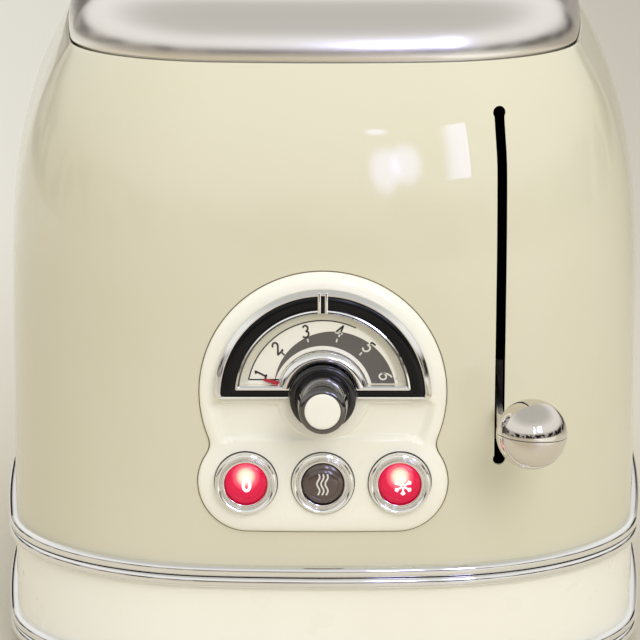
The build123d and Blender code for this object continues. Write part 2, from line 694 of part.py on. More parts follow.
def bread_guard(x):
    """Wire grid that keeps the slice off the heater: long rows and upright wires."""
    middle_y = sum(CHAMBER_Y) / 2
    length = CHAMBER_Y[1] - CHAMBER_Y[0]
    wires = [Pos(x, middle_y, z) * Rot(90, 0, 0) * Cylinder(GUARD_ROW_R, length) for z in GUARD_ROWS]
    pitch = (length - 20) / (GUARD_WIRES - 1)
    for i in range(GUARD_WIRES):
        wires.append(post(x, CHAMBER_Y[0] + 10 + pitch * i, GUARD_WIRE_R, GUARD_ROWS[0], GUARD_ROWS[-1]))
    return wires[0] + wires[1:]


def side_reflector(side):
    """Bright steel sheet between the outer heater and the painted shell, with turned-in long edges."""
    sheet = block(sorted((side * REFLECTOR_X, side * (REFLECTOR_X + 0.8))), CHAMBER_Y, (CHASSIS_TOP, 176))
    for z in (CHASSIS_TOP, 175.2):
        sheet += block(sorted((side * (REFLECTOR_X - 6), side * REFLECTOR_X)), CHAMBER_Y, (z, z + 0.8))
    return sheet


# ---------------------------------------------------------------- crumb tray and feet
def crumb_tray():
    """Shallow pan under the heating chamber that pulls out at the back."""
    outer = block((-TRAY_HALF_W, TRAY_HALF_W), (TRAY_FRONT_Y, TRAY_REAR_Y), (TRAY_Z, TRAY_Z + TRAY_DEPTH))
    inner = block(
        (-TRAY_HALF_W + TRAY_T, TRAY_HALF_W - TRAY_T),
        (TRAY_FRONT_Y + TRAY_T, TRAY_REAR_Y - TRAY_T),
        (TRAY_Z + TRAY_T, TRAY_Z + TRAY_DEPTH + 1),
    )
    return outer - inner


PULL_GAP = 0.4
PULL_T = 2.4


def tray_pull():
    """Moulded front of the tray, flush with the plinth, with a finger lip and two ribs to the tray's end."""
    low, high = WINDOW_LOW + PULL_GAP, WINDOW_HIGH - PULL_GAP
    window = block((-WINDOW_HALF_W + PULL_GAP, WINDOW_HALF_W - PULL_GAP), (TRAY_REAR_Y, 160), (low, high))
    wall = slab(0, 0, 60) - slab(-PULL_T, 0, 60)
    reach = slab(PULL_LIP, 0, 60) - slab(-0.5, 0, 60)
    shape = window & wall
    shape += window & reach & block((-22, 22), (140, 160), (high - 3, high))
    for x in (-30, 30):
        rib = block((x - 1.5, x + 1.5), (TRAY_REAR_Y, 160), (TRAY_Z, TRAY_Z + TRAY_DEPTH))
        shape += rib & slab(-1, 0, 60)
    return shape


def feet():
    """Four rubber feet with a recessed middle."""
    spots = [(x, y) for x in (-FOOT_X, FOOT_X) for y in (-FOOT_Y, FOOT_Y)]
    return Compound([post(x, y, 9.0, 0, FOOT_H) - post(x, y, 3.5, -1, 2.5) for x, y in spots])


# ---------------------------------------------------------------- write every node
SIDES = {"left": -1, "right": 1}
BUTTONS = {"cancel": -BUTTON_X, "reheat": 0, "defrost": BUTTON_X}

save("body_shell", body_shell())
save("plinth", plinth())
save("upper_band", ring(double_bead(UPPER_BAND_Z)))
save("lower_band", ring(double_bead(LOWER_BAND_Z)))
save("lid", lid())
save("cord_gland", cord_gland())
save("control_panel", control_panel())
save("dial_bezel", dial_bezel())
save("dial_plate", dial_plate())
save("dial_pointer", dial_pointer())
save("knob_skirt", knob_skirt())
save("browning_knob", browning_knob())
save("control_spindle", control_spindle())
save("browning_control", browning_control())
save("control_board", control_board())
save("board_screws", board_screws())
save("tact_switches", tact_switches())
for button, button_x in BUTTONS.items():
    save(f"{button}_bezel", button_bezel(button_x))
    save(f"{button}_button", button_cap(button_x))
save("lever_arm", lever_arm())
save("lever_ball_top", ball_half(1))
save("lever_ball_bottom", ball_half(-1))
save("carriage", carriage())
save("carriage_bushes", carriage_bushes())
save("return_springs", return_springs())
save("latch_keeper", latch_keeper())
save("magnet_core", magnet_core())
save("magnet_coil", magnet_coil())
save("rod_bracket", rod_bracket())
save("front_chassis_plate", chassis_plate((-150, FRONT_BULKHEAD_Y + 6)))
save("rear_chassis_plate", chassis_plate((REAR_BULKHEAD_Y - 5, 150)))
save("chassis_screws", chassis_screws())
save("front_bulkhead", bulkhead(FRONT_BULKHEAD_Y, RACK_Z - 4))
save("rear_bulkhead", bulkhead(REAR_BULKHEAD_Y, RACK_Z - 4))
for side, sign in SIDES.items():
    save(f"guide_rod_{side}", guide_rod(sign * ROD_X))
    save(f"bread_rack_{side}", bread_rack(sign * SLOT_X))
    save(f"outer_heater_board_{side}", heater_board(sign * OUTER_HEATER_X))
    save(f"inner_heater_board_{side}", heater_board(sign * INNER_HEATER_X))
    save(f"outer_heater_ribbon_{side}", heater_ribbon(sign * OUTER_HEATER_X, -sign))
    save(f"inner_heater_ribbon_{side}", heater_ribbon(sign * INNER_HEATER_X, sign))
    save(f"outer_bread_guard_{side}", bread_guard(sign * (SLOT_X + GUARD_REACH)))
    save(f"inner_bread_guard_{side}", bread_guard(sign * (SLOT_X - GUARD_REACH)))
    save(f"side_reflector_{side}", side_reflector(sign))
save("crumb_tray", crumb_tray())
save("tray_pull", tray_pull())
save("feet", feet())
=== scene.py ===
import json
import math

import bmesh
import bpy
from mathutils import Matrix, Vector
from mathutils.geometry import delaunay_2d_cdt


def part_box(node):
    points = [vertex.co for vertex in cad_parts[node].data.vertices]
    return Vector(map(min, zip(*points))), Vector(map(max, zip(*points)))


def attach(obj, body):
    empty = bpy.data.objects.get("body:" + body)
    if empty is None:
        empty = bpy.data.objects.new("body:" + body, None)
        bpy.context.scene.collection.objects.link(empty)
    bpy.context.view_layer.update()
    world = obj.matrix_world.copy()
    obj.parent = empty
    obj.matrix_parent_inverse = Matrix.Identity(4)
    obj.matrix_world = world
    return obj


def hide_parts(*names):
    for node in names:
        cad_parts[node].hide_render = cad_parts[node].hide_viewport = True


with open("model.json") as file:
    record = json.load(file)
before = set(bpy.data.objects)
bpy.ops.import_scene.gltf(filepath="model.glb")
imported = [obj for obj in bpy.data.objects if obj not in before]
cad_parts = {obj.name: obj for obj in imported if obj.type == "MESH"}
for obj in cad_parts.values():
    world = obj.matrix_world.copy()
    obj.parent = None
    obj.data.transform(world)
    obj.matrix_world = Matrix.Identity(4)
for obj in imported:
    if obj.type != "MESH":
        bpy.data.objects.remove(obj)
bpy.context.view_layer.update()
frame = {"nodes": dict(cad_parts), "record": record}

# ---------------------------------------------------------------- sizes, in millimetres
MM = 0.001


def box_mm(node):
    """A CAD node's lowest and highest corners, in millimetres."""
    low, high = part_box(node)
    return [c / MM for c in low], [c / MM for c in high]


def middle_mm(node):
    low, high = box_mm(node)
    return [(a + b) / 2 for a, b in zip(low, high)]


HALF_WIDTH = 95.0
HALF_LENGTH = 150.0
END_ARC_R = 300.0
SIDE_ARC_R = 900.0
CORNER_R = 66.0
MID_Y = middle_mm("plinth")[1]
FRONT_Y = MID_Y - HALF_LENGTH
SEAM_Z = box_mm("body_shell")[0][2]
RIM_Z = box_mm("body_shell")[1][2]
SHELL_T = 1.2
SHOULDER_Z = 97.0
RIM_INSET = 17.2
SHOULDER_POWER = 3.2
BAND_PROUD = 2.2
GROOVE_HALF = 0.42

LIP_R = 1.1
LIP_RISE = 0.5
LID_TOP_Z = box_mm("lid")[1][2] - LIP_R - LIP_RISE
LID_GAP = 1.5
LID_OVERHANG = 0.35
LID_UPRIGHT_H = 1.3
LID_TURN_POWER = 1.8
LID_T = 1.0
SLOT_X = 27.0
SLOT_W = 34.0
SLOT_LEN = 150.0
SLOT_Y = MID_Y + 5.0
SLOT_CORNER_R = 8.0

LEVER_SLOT_X = 49.5
LEVER_SLOT_LOW = 69.3
LEVER_SLOT_HIGH = 169.6
LEVER_SLOT_HALF = 1.4
LEVER_BULB_R = 1.75
SLOT_BEND_Z = 152.0
SLOT_SWAY = 0.42
SLOT_END_LEAN = 1.9

DIAL_Z = middle_mm("knob_skirt")[2]
SEAT_Y = box_mm("dial_plate")[1][1]
BUTTON_Z = middle_mm("reheat_bezel")[2]
BUTTON_X = middle_mm("defrost_bezel")[0]
PANEL_R = 34.5
PANEL_T = 2.2
LOBE_R = 13.9
LOBE_X = 21.1
LOBE_Z = 65.5
FRAME_R = 29.6
PLATE_R = 23.4
BAR_LOW = -0.4
BAR_HIGH = 2.9
KNOB_HOLE_R = 9.6
SKIRT_R = 9.3


# ---------------------------------------------------------------- the plan outline, as in the CAD
def corner_centre():
    """Centre of the front right corner arc, tangent inside both the front bow and the side bow."""
    front_y = END_ARC_R - HALF_LENGTH
    dx, dy = HALF_WIDTH - SIDE_ARC_R, -front_y
    gap = math.hypot(dx, dy)
    ux, uy = dx / gap, dy / gap
    from_front = END_ARC_R - CORNER_R
    from_side = SIDE_ARC_R - CORNER_R
    along = (from_front**2 - from_side**2 + gap**2) / (2 * gap)
    across = math.sqrt(from_front**2 - along**2)
    return along * ux - across * uy, front_y + along * uy + across * ux


CORNER_X, CORNER_Y = corner_centre()
FRONT_CENTRE_Y = END_ARC_R - HALF_LENGTH
END_DEG = math.degrees(math.atan2(CORNER_X, FRONT_CENTRE_Y - CORNER_Y))
SIDE_DEG = math.degrees(math.atan2(-CORNER_Y, CORNER_X - HALF_WIDTH + SIDE_ARC_R))
CORNER_SWEEP = 90 - END_DEG - SIDE_DEG
HALF_ROUND = [
    (0, FRONT_CENTRE_Y, END_ARC_R, -90 - END_DEG, 2 * END_DEG, 24),
    (CORNER_X, CORNER_Y, CORNER_R, -90 + END_DEG, CORNER_SWEEP, 40),
    (HALF_WIDTH - SIDE_ARC_R, 0, SIDE_ARC_R, -SIDE_DEG, 2 * SIDE_DEG, 36),
    (CORNER_X, -CORNER_Y, CORNER_R, SIDE_DEG, CORNER_SWEEP, 40),
]
ARCS = HALF_ROUND + [(-cx, -cy, r, start + 180, *rest) for cx, cy, r, start, *rest in HALF_ROUND]


def polar(radius, angle, cx=0.0, cy=0.0):
    """The point at an angle, in radians, on a circle round a centre."""
    return cx + radius * math.cos(angle), cy + radius * math.sin(angle)


def outline(outset):
    """Points round the body's outline, outset millimetres outside it."""
    points = []
    for cx, cy, radius, start, sweep, count in ARCS:
        angles = [math.radians(start + sweep * i / count) for i in range(count)]
        points += [polar(radius + outset, a, cx, MID_Y + cy) for a in angles]
    return points


def inset(z):
    """How far the shell has curved in at height z."""
    return RIM_INSET * max(0.0, (z - SHOULDER_Z) / (RIM_Z - SHOULDER_Z)) ** SHOULDER_POWER


def shell_y(x, z):
    """Y of the shell's outer face at the front, in millimetres."""
    if abs(x) < math.sin(math.radians(END_DEG)) * END_ARC_R:
        radius = END_ARC_R - inset(z)
        return MID_Y + FRONT_CENTRE_Y - math.sqrt(radius**2 - x**2)
    radius = CORNER_R - inset(z)
    return MID_Y + CORNER_Y - math.sqrt(radius**2 - (abs(x) - CORNER_X) ** 2)


# ---------------------------------------------------------------- mesh helpers
SHARP_DEG = 35


def metres(point):
    return Vector(point) * MM


def make_piece(name, points, faces, material, body, angle=SHARP_DEG):
    """A mesh piece from points in millimetres, welded, and smooth except at edges sharper than the angle."""
    mesh = bpy.data.meshes.new(name)
    mesh.from_pydata([metres(p) for p in points], [], faces)
    mesh.materials.append(material)
    bm = bmesh.new()
    bm.from_mesh(mesh)
    bmesh.ops.remove_doubles(bm, verts=bm.verts, dist=1e-7)
    bmesh.ops.recalc_face_normals(bm, faces=bm.faces)
    for face in bm.faces:
        face.smooth = True
    bm.to_mesh(mesh)
    bm.free()
    mesh.set_sharp_from_angle(angle=math.radians(angle))
    obj = bpy.data.objects.new(name, mesh)
    bpy.context.scene.collection.objects.link(obj)
    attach(obj, body)
    return obj


def grid_faces(row_count, column_count, wrap_rows):
    """Quads between rows of points; every row is a closed loop."""
    faces = []
    last = row_count if wrap_rows else row_count - 1
    for r in range(last):
        here, above = r * column_count, (r + 1) % row_count * column_count
        for c in range(column_count):
            right = (c + 1) % column_count
            faces.append((here + c, here + right, above + right, above + c))
    return faces


def skin(loops, closed=False):
    """Points and faces of loops, each with the same count of points, joined in order."""
    return [p for loop in loops for p in loop], grid_faces(len(loops), len(loops[0]), closed)


def loft(name, loops, material, body="toaster", closed=True, capped=False):
    """Joins loops of points into one piece; flat faces may close its ends."""
    points, faces = skin(loops, closed)
    if capped:
        count = len(loops[0])
        faces.append(tuple(reversed(range(count))))
        faces.append(tuple(range(len(points) - count, len(points))))
    return make_piece(name, points, faces, material, body)


def ring(name, section, material):
    """Carries a section of (outset, height) points round the body's outline."""
    return loft(name, [[(x, y, z) for x, y in outline(outset)] for outset, z in section], material)


def rounded(corners, steps):
    """A closed outline whose corners, given as (x, y, radius), are rounded."""
    points = []
    for i, (x, y, radius) in enumerate(corners):
        here = Vector((x, y))
        before = (Vector(corners[i - 1][:2]) - here).normalized()
        after = (Vector(corners[(i + 1) % len(corners)][:2]) - here).normalized()
        half = before.angle(after) / 2
        start = here + before * (radius / math.tan(half))
        centre = here + (before + after).normalized() * (radius / math.sin(half))
        first = math.atan2(start.y - centre.y, start.x - centre.x)
        end = here + after * (radius / math.tan(half))
        turn = math.atan2(end.y - centre.y, end.x - centre.x) - first
        turn = (turn + math.pi) % (2 * math.pi) - math.pi
        points += [polar(radius, first + turn * k / steps, *centre) for k in range(steps + 1)]
    return points


def carve(obj, cutter):
    """Takes a closed piece away from a piece and deletes it."""
    cut = obj.modifiers.new("cut", "BOOLEAN")
    cut.object = cutter
    cut.operation = "DIFFERENCE"
    cut.solver = "EXACT"
    depsgraph = bpy.context.evaluated_depsgraph_get()
    mesh = bpy.data.meshes.new_from_object(obj.evaluated_get(depsgraph))
    obj.modifiers.clear()
    obj.data = mesh
    bpy.data.objects.remove(cutter)
    obj.data.set_sharp_from_angle(angle=math.radians(SHARP_DEG))


def prism(name, loop, back_y, front_y, material):
    """A prism along Y whose outline is a loop of (x, z) points."""
    loops = [[(x, y, z) for x, z in loop] for y in (back_y, front_y)]
    return loft(name, loops, material, closed=False, capped=True)


def on_seat(loop, height):
    """A loop of (x, z) points at a height in front of the dial's seat."""
    return [(x, SEAT_Y - height, z) for x, z in loop]


def disc_loop(x, z, radius, count=64):
    """Points round a circle."""
    return [polar(radius, 2 * math.pi * i / count, x, z) for i in range(count)]


def smoothstep(low, high, value):
    t = min(1.0, max(0.0, (value - low) / (high - low)))
    return t * t * (3 - 2 * t)


# ---------------------------------------------------------------- material helpers
def srgb(red, green, blue):
    """A colour given as it looks on a screen, 0 to 255, as the linear values that the shader needs."""
    out = []
    for c in (red / 255, green / 255, blue / 255):
        out.append(c / 12.92 if c <= 0.04045 else ((c + 0.055) / 1.055) ** 2.4)
    return (*out, 1.0)


class Graph:
    """Short ways to add nodes to a node tree and to join them."""

    def __init__(self, tree):
        self.nodes = tree.nodes
        self.links = tree.links

    def add(self, kind, **values):
        node = self.nodes.new(kind)
        for key, value in values.items():
            setattr(node, key, value)
        return node

    def join(self, source, target):
        self.links.new(source, target)

    def axis(self, source, letter):
        split = self.add("ShaderNodeSeparateXYZ")
        self.join(source, split.inputs["Vector"])
        return split.outputs[letter]

    def distance(self, source, place):
        node = self.add("ShaderNodeVectorMath", operation="DISTANCE")
        node.inputs[1].default_value = place
        self.join(source, node.inputs[0])
        return node.outputs["Value"]

    def span(self, source, low, high, new_low=0.0, new_high=1.0):
        node = self.add("ShaderNodeMapRange")
        names = ("From Min", "From Max", "To Min", "To Max")
        for socket, value in zip(names, (low, high, new_low, new_high)):
            node.inputs[socket].default_value = value
        self.join(source, node.inputs["Value"])
        return node.outputs["Result"]

    def ramp(self, source, stops):
        node = self.add("ShaderNodeValToRGB")
        elements = node.color_ramp.elements
        while len(elements) < len(stops):
            elements.new(0.5)
        for element, (position, colour) in zip(elements, stops):
            element.position = position
            element.color = colour
        self.join(source, node.inputs["Fac"])
        return node.outputs["Color"]

    def mix(self, factor, a, b):
        """Mixes two colours, each a socket or a plain value."""
        node = self.add("ShaderNodeMix", data_type="RGBA")
        self.join(factor, node.inputs["Factor"])
        for name, colour in (("A", a), ("B", b)):
            if isinstance(colour, tuple):
                node.inputs[name].default_value = colour
            else:
                self.join(colour, node.inputs[name])
        return node.outputs["Result"]

    def noise_at(self, source, scale, detail):
        node = self.add("ShaderNodeTexNoise")
        node.inputs["Scale"].default_value = scale
        node.inputs["Detail"].default_value = detail
        self.join(source, node.inputs["Vector"])
        return node.outputs["Fac"]


class Shader(Graph):
    """A material with a Principled shader and short ways to feed it."""

    def __init__(self, name, colour, roughness, metallic=0.0, coat=0.0, coat_roughness=0.03):
        self.material = bpy.data.materials.new(name)
        self.material.use_nodes = True
        super().__init__(self.material.node_tree)
        self.principled = self.nodes["Principled BSDF"]
        self.set("Base Color", colour)
        self.set("Roughness", roughness)
        self.set("Metallic", metallic)
        self.set("Coat Weight", coat)
        self.set("Coat Roughness", coat_roughness)
        self.place = self.add("ShaderNodeTexCoord").outputs["Object"]

    def set(self, socket, value):
        self.principled.inputs[socket].default_value = value

    def feed(self, source, socket):
        self.join(source, self.principled.inputs[socket])

    def noise(self, scale, detail=3.0, stretch=(1, 1, 1)):
        mapping = self.add("ShaderNodeMapping")
        mapping.inputs["Scale"].default_value = stretch
        self.join(self.place, mapping.inputs["Vector"])
        return self.noise_at(mapping.outputs["Vector"], scale, detail)

    def bump(self, source, strength, distance):
        node = self.add("ShaderNodeBump")
        node.inputs["Strength"].default_value = strength
        node.inputs["Distance"].default_value = distance
        self.join(source, node.inputs["Height"])
        self.feed(node.outputs["Normal"], "Normal")

    def patchy(self, source, low, high, least, most):
        """Lets the roughness follow a pattern."""
        self.feed(self.span(source, low, high, least, most), "Roughness")

    def worn(self, colour, dusty, scale):
        """Mottles the base colour a little between two shades."""
        self.feed(self.ramp(self.noise(scale, 5.0), [(0.42, colour), (0.68, dusty)]), "Base Color")


# ---------------------------------------------------------------- materials
def enamel(name, colour, shade):
    shader = Shader(name, shade, 0.5, coat=0.85, coat_roughness=0.02)
    shader.set("Specular IOR Level", 0.1)
    shader.worn(colour, shade, 14)
    shader.patchy(shader.noise(60, 4), 0.3, 0.7, 0.46, 0.54)
    shader.bump(shader.noise(420, 2), 0.05, 0.0002)
    return shader.material


def ivory(name, colour, shade):
    shader = Shader(name, colour, 0.35, coat=0.7, coat_roughness=0.05)
    shader.set("Specular IOR Level", 0.2)
    shader.worn(colour, shade, 20)
    shader.patchy(shader.noise(90, 4), 0.3, 0.7, 0.26, 0.36)
    shader.bump(shader.noise(900, 2), 0.06, 0.0001)
    return shader.material


def polished(name, colour, roughness, smear):
    """Bright plate with faint wiping marks and a slight waviness."""
    shader = Shader(name, colour, roughness, metallic=1.0)
    shader.patchy(shader.noise(130, 6, (1, 1, 3)), 0.4, 0.75, roughness, roughness + smear)
    shader.bump(shader.noise(45, 2), 0.02, 0.0004)
    return shader.material


def brushed(name, colour, roughness, stretch):
    """Drawn or rolled metal with fine lines along one direction."""
    shader = Shader(name, colour, roughness, metallic=1.0)
    lines = shader.noise(350, 3, stretch)
    shader.patchy(lines, 0.3, 0.7, roughness - 0.08, roughness + 0.12)
    shade = tuple(c * 0.8 for c in colour[:3]) + (1.0,)
    shader.feed(shader.ramp(shader.noise(30, 4), [(0.35, colour), (0.75, shade)]), "Base Color")
    shader.bump(lines, 0.08, 0.0001)
    return shader.material


def plastic(name, colour, shade, roughness, coat=0.0, grain=700):
    shader = Shader(name, colour, roughness, coat=coat, coat_roughness=0.05)
    shader.worn(colour, shade, 60)
    shader.patchy(shader.noise(200, 4), 0.3, 0.7, roughness - 0.04, roughness + 0.08)
    shader.bump(shader.noise(grain, 2), 0.1, 0.0001)
    return shader.material


def inlay_black(name, colour, shade):
    """Glossy black that mirrors the room only faintly."""
    shader = Shader(name, colour, 0.14)
    shader.set("Specular IOR Level", 0.22)
    shader.worn(colour, shade, 60)
    shader.bump(shader.noise(700, 2), 0.1, 0.0001)
    return shader.material


LENS_GLOW_R = 9.0


def painted_glow_lens(name, centre, glow):
    """Red moulding painted to glow, with a painted pale hot spot above its centre that fades to deep red at
    the edge.
    """
    shader = Shader(name, srgb(148, 12, 36), 0.12, coat=0.35)
    shader.set("Specular IOR Level", 0.15)
    # Painted glow: a pale hot spot that fades through red to deep red, given as emission.
    stops = [
        (0.0, (1.3, 1.2, 0.95, 1)),
        (0.20, (1.15, 0.85, 0.62, 1)),
        (0.32, (0.85, 0.15, 0.20, 1)),
        (0.46, (0.58, 0.010, 0.060, 1)),
        (1.0, (0.34, 0.003, 0.025, 1)),
    ]
    away = shader.distance(shader.place, metres(centre))
    shader.feed(shader.ramp(shader.span(away, 0, LENS_GLOW_R * MM), stops), "Emission Color")
    shader.set("Emission Strength", glow)
    shader.bump(shader.noise(300, 2), 0.1, 0.0002)
    return shader.material


# Printed marks painted to glow: emission in their own colour.
def glowing(name, colour, strength):
    shader = Shader(name, colour, 0.4)
    shader.worn(colour, tuple(c * 0.92 for c in colour[:3]) + (1,), 300)
    shader.set("Emission Color", colour)
    shader.set("Emission Strength", strength)
    return shader.material


ENAMELS = {"cream_enamel": (srgb(225, 221, 199), srgb(222, 218, 193))}
IVORIES = {
    "ivory_plastic": (srgb(255, 254, 243), srgb(252, 250, 237)),
    "panel_ivory": (srgb(255, 254, 243), srgb(255, 252, 238)),
}
# This black is the dial's own inlay and also the painted shade laid in the bands' grooves.
INLAYS = {"dark_inlay": ((0.004, 0.004, 0.005, 1), (0.008, 0.007, 0.008, 1))}
POLISHED = {
    "chrome": ((0.86, 0.86, 0.85, 1), 0.035, 0.05),
    "ball_chrome": ((0.74, 0.70, 0.65, 1), 0.035, 0.05),
    "lid_chrome": ((0.85, 0.82, 0.78, 1), 0.24, 0.03),
    # The knob's chrome is painted dark, standing in for the dark reflections of its collar.
    "dark_chrome": ((0.16, 0.153, 0.153, 1), 0.05, 0.05),
}
PLASTICS = {
    "dial_print": (srgb(255, 253, 243), srgb(253, 250, 237), 0.35),
    "dial_ring": (srgb(232, 229, 212), srgb(226, 222, 203), 0.3),
    "dial_grey": (srgb(104, 101, 96), srgb(99, 96, 91), 0.4),
    "dial_ink": ((0.03, 0.028, 0.026, 1), (0.04, 0.038, 0.035, 1), 0.5),
    "dial_white": (srgb(240, 238, 228), srgb(232, 230, 220), 0.5),
    "pointer_red": (srgb(190, 40, 60), srgb(176, 32, 50), 0.35),
    "black_plastic": ((0.006, 0.006, 0.007, 1), (0.011, 0.01, 0.01, 1), 0.18, 0.35),
    "knob_face": (srgb(250, 249, 240), srgb(246, 245, 234), 0.3, 0.3),
    "smoke_lens": (srgb(88, 72, 68), srgb(78, 63, 60), 0.15, 1.0),
    "lens_mark": (srgb(238, 236, 232), srgb(226, 224, 220), 0.4),
    "board_green": ((0.01, 0.09, 0.03, 1), (0.015, 0.12, 0.045, 1), 0.35),
    "mica": (srgb(196, 184, 150), srgb(170, 150, 112), 0.45, 0.0, 240),
    "nylon": (srgb(232, 231, 224), srgb(222, 220, 210), 0.45),
    "gasket": (srgb(120, 104, 80), srgb(104, 90, 68), 0.6),
    "rubber": ((0.012, 0.012, 0.012, 1), (0.022, 0.021, 0.02, 1), 0.6, 0.0, 500),
}
BRUSHED = {
    "arm_steel": ((0.78, 0.77, 0.74, 1), 0.42, (1, 1, 1)),
    # Painted shade: black for the bulkhead seen through the lever's slot.
    "black_steel": ((0.012, 0.011, 0.01, 1), 0.6, (1, 1, 6)),
    "screw_steel": ((0.5, 0.5, 0.48, 1), 0.35, (1, 1, 1)),
    "zinc_steel": ((0.56, 0.57, 0.58, 1), 0.36, (1, 1, 6)),
    "polished_steel": ((0.62, 0.62, 0.61, 1), 0.24, (1, 5, 1)),
    "tray_steel": ((0.66, 0.66, 0.67, 1), 0.32, (1, 6, 1)),
    "nichrome": ((0.16, 0.13, 0.11, 1), 0.42, (1, 6, 1)),
    "copper_wire": ((0.48, 0.17, 0.06, 1), 0.3, (1, 1, 9)),
}
PAINTED_GLOWS = {"lit_mark": ((1.0, 0.62, 0.66, 1), 1.1)}


def make_materials():
    kinds = [(enamel, ENAMELS), (ivory, IVORIES), (inlay_black, INLAYS), (polished, POLISHED)]
    kinds += [(plastic, PLASTICS), (brushed, BRUSHED), (glowing, PAINTED_GLOWS)]
    return {name: make(name, *look) for make, looks in kinds for name, look in looks.items()}


MAT = make_materials()
FROM_SLOT = {part["node"]: part["material_slot"] for part in frame["record"]["subparts"]}


# The front bulkhead is painted black as the shade inside the lever's slot.
OWN_LOOK = {"lever_arm": "arm_steel", "front_bulkhead": "black_steel"}


def dress_cad_nodes():
    """Gives every CAD node the detailed material of its slot."""
    for node, obj in frame["nodes"].items():
        slot = OWN_LOOK.get(node, FROM_SLOT[node])
        material = MAT.get(slot, MAT["black_plastic"])
        obj.data.materials.clear()
        obj.data.materials.append(material)


# ---------------------------------------------------------------- shell and bands
def shell_section():
    """Outer wall and shoulder, a rolled rim, and the inner wall."""
    roll_r = 0.6
    last_z = RIM_Z - 0.75
    upright = [(0, SEAM_Z + (SHOULDER_Z - SEAM_Z) * i / 10) for i in range(11)]
    heights = [SHOULDER_Z + (last_z - SHOULDER_Z) * i / 52 for i in range(1, 53)]
    shoulder = [(-inset(z), z) for z in heights]
    tilt = math.atan(RIM_INSET * SHOULDER_POWER / (RIM_Z - SHOULDER_Z))
    centre = polar(-roll_r, tilt, -inset(last_z), last_z)
    roll = [polar(roll_r, tilt + (math.pi - tilt) * i / 8, *centre) for i in range(1, 9)]
    inner = [(-inset(z) - SHELL_T, z) for z in reversed(heights[::4]) if z < last_z - 1]
    return upright + shoulder + roll + inner + [(-SHELL_T, SHOULDER_Z), (-SHELL_T, SEAM_Z)]


def slot_sway(z):
    """How far right of its line the lever's slot wanders at height z."""
    if z > SLOT_BEND_Z:
        return SLOT_SWAY * (1 - SLOT_END_LEAN * smoothstep(SLOT_BEND_Z, LEVER_SLOT_HIGH, z))
    return SLOT_SWAY * smoothstep(LEVER_SLOT_LOW, SLOT_BEND_Z, z)


def slot_outline():
    """The lever's slot as seen from the front, with round ends a little wider than the slot."""
    turn = math.asin(LEVER_SLOT_HALF / LEVER_BULB_R)
    low = (LEVER_SLOT_LOW + LEVER_BULB_R, math.pi / 2 + turn, -1)
    high = (LEVER_SLOT_HIGH - LEVER_BULB_R, turn - math.pi / 2, 1)
    straight = [low[0] + 2 + (high[0] - low[0] - 4) * i / 30 for i in range(31)]
    loop = []
    for z, start, side in (low, high):
        angles = [start + (2 * math.pi - 2 * turn) * i / 24 for i in range(25)]
        loop += [polar(LEVER_BULB_R, a, LEVER_SLOT_X, z) for a in angles]
        run = straight if side < 0 else reversed(straight)
        loop += [(LEVER_SLOT_X - side * LEVER_SLOT_HALF, height) for height in run]
    return [(x + slot_sway(z), z) for x, z in loop]


def shell():
    piece = ring("shell", shell_section(), MAT["cream_enamel"])
    cutter = prism("slot_cutter", slot_outline(), FRONT_Y + 40, FRONT_Y - 20, MAT["cream_enamel"])
    carve(piece, cutter)
    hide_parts("body_shell")


def bead(low_x, peak_x, low_z, high_z, rising):
    """Half of a rounded ridge as points of (outset, height)."""
    middle = (low_z + high_z) / 2
    half = (high_z - low_z) / 2
    points = []
    for i in range(11):
        a = math.pi / 2 * (i / 10 if rising else 1 - i / 10)
        z = middle - half * math.cos(a) if rising else middle + half * math.cos(a)
        points.append((low_x + (peak_x - low_x) * math.sin(a), z))
    return points


def band(node):
    """Bright strip with two rounded ridges and a groove between them; a black strip laid in the groove is
    painted shade.
    """
    low, high = box_mm(node)[0][2], box_mm(node)[1][2]
    middle = (low + high) / 2
    section = [(-0.3, low)]
    for ridge_low, ridge_high, outer, inner in ((low, middle, 0.5, 1.15), (middle, high, 1.15, 0.5)):
        section += bead(outer, BAND_PROUD, ridge_low, ridge_high, True)
        section += bead(inner, BAND_PROUD, ridge_low, ridge_high, False)[1:]
    section.append((-0.3, high))
    piece = ring(node + "_trim", section, MAT["chrome"])
    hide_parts(node)
    low, high = middle - GROOVE_HALF, middle + GROOVE_HALF
    corners = [(1.0, low), (1.5, low), (1.62, middle), (1.5, high), (1.0, high)]
    # Painted shade: a black strip in the groove stands in for the band's dark line of shade and dark
    # reflection.
    groove = ring(node + "_groove", corners, MAT["dark_inlay"])


# ---------------------------------------------------------------- lid
def lid_profile():
    """The lid's outer section from its foot, which rests on the shell's rim, to the flat top.

    The face turns quickly at first and then more and more slowly, so that it has no ridge.
    """
    turns = 48
    slopes = [math.pi / 2 * (1 - (i + 0.5) / turns) ** LID_TURN_POWER for i in range(turns)]
    upright_top = RIM_Z + LID_UPRIGHT_H
    step = (LID_TOP_Z - upright_top) / sum(math.sin(slope) for slope in slopes)
    x = -RIM_INSET - LID_OVERHANG
    section = [(x - 0.5, RIM_Z + 0.1), (x - 0.12, RIM_Z + 0.2), (x, RIM_Z + 0.5), (x, upright_top)]
    z = upright_top
    for slope in slopes:
        x -= step * math.cos(slope)
        z += step * math.sin(slope)
        section.append((x, z))
    return section


def lid_inner_profile(outer):
    """The lid's inside: a skirt that hangs inside the shell, then a face at an even depth."""
    skirt_x = -RIM_INSET - LID_GAP
    section = [(skirt_x, RIM_Z + 0.1), (skirt_x, RIM_Z - 3.5), (skirt_x - LID_T, RIM_Z - 3.5)]
    for (ax, az), (bx, bz) in zip(outer[3:], outer[4:]):
        length = math.hypot(bx - ax, bz - az)
        x = (ax + bx) / 2 - LID_T * (bz - az) / length
        if x < skirt_x - LID_T:
            section.append((x, (az + bz) / 2 - LID_T * (ax - bx) / length))
    return section


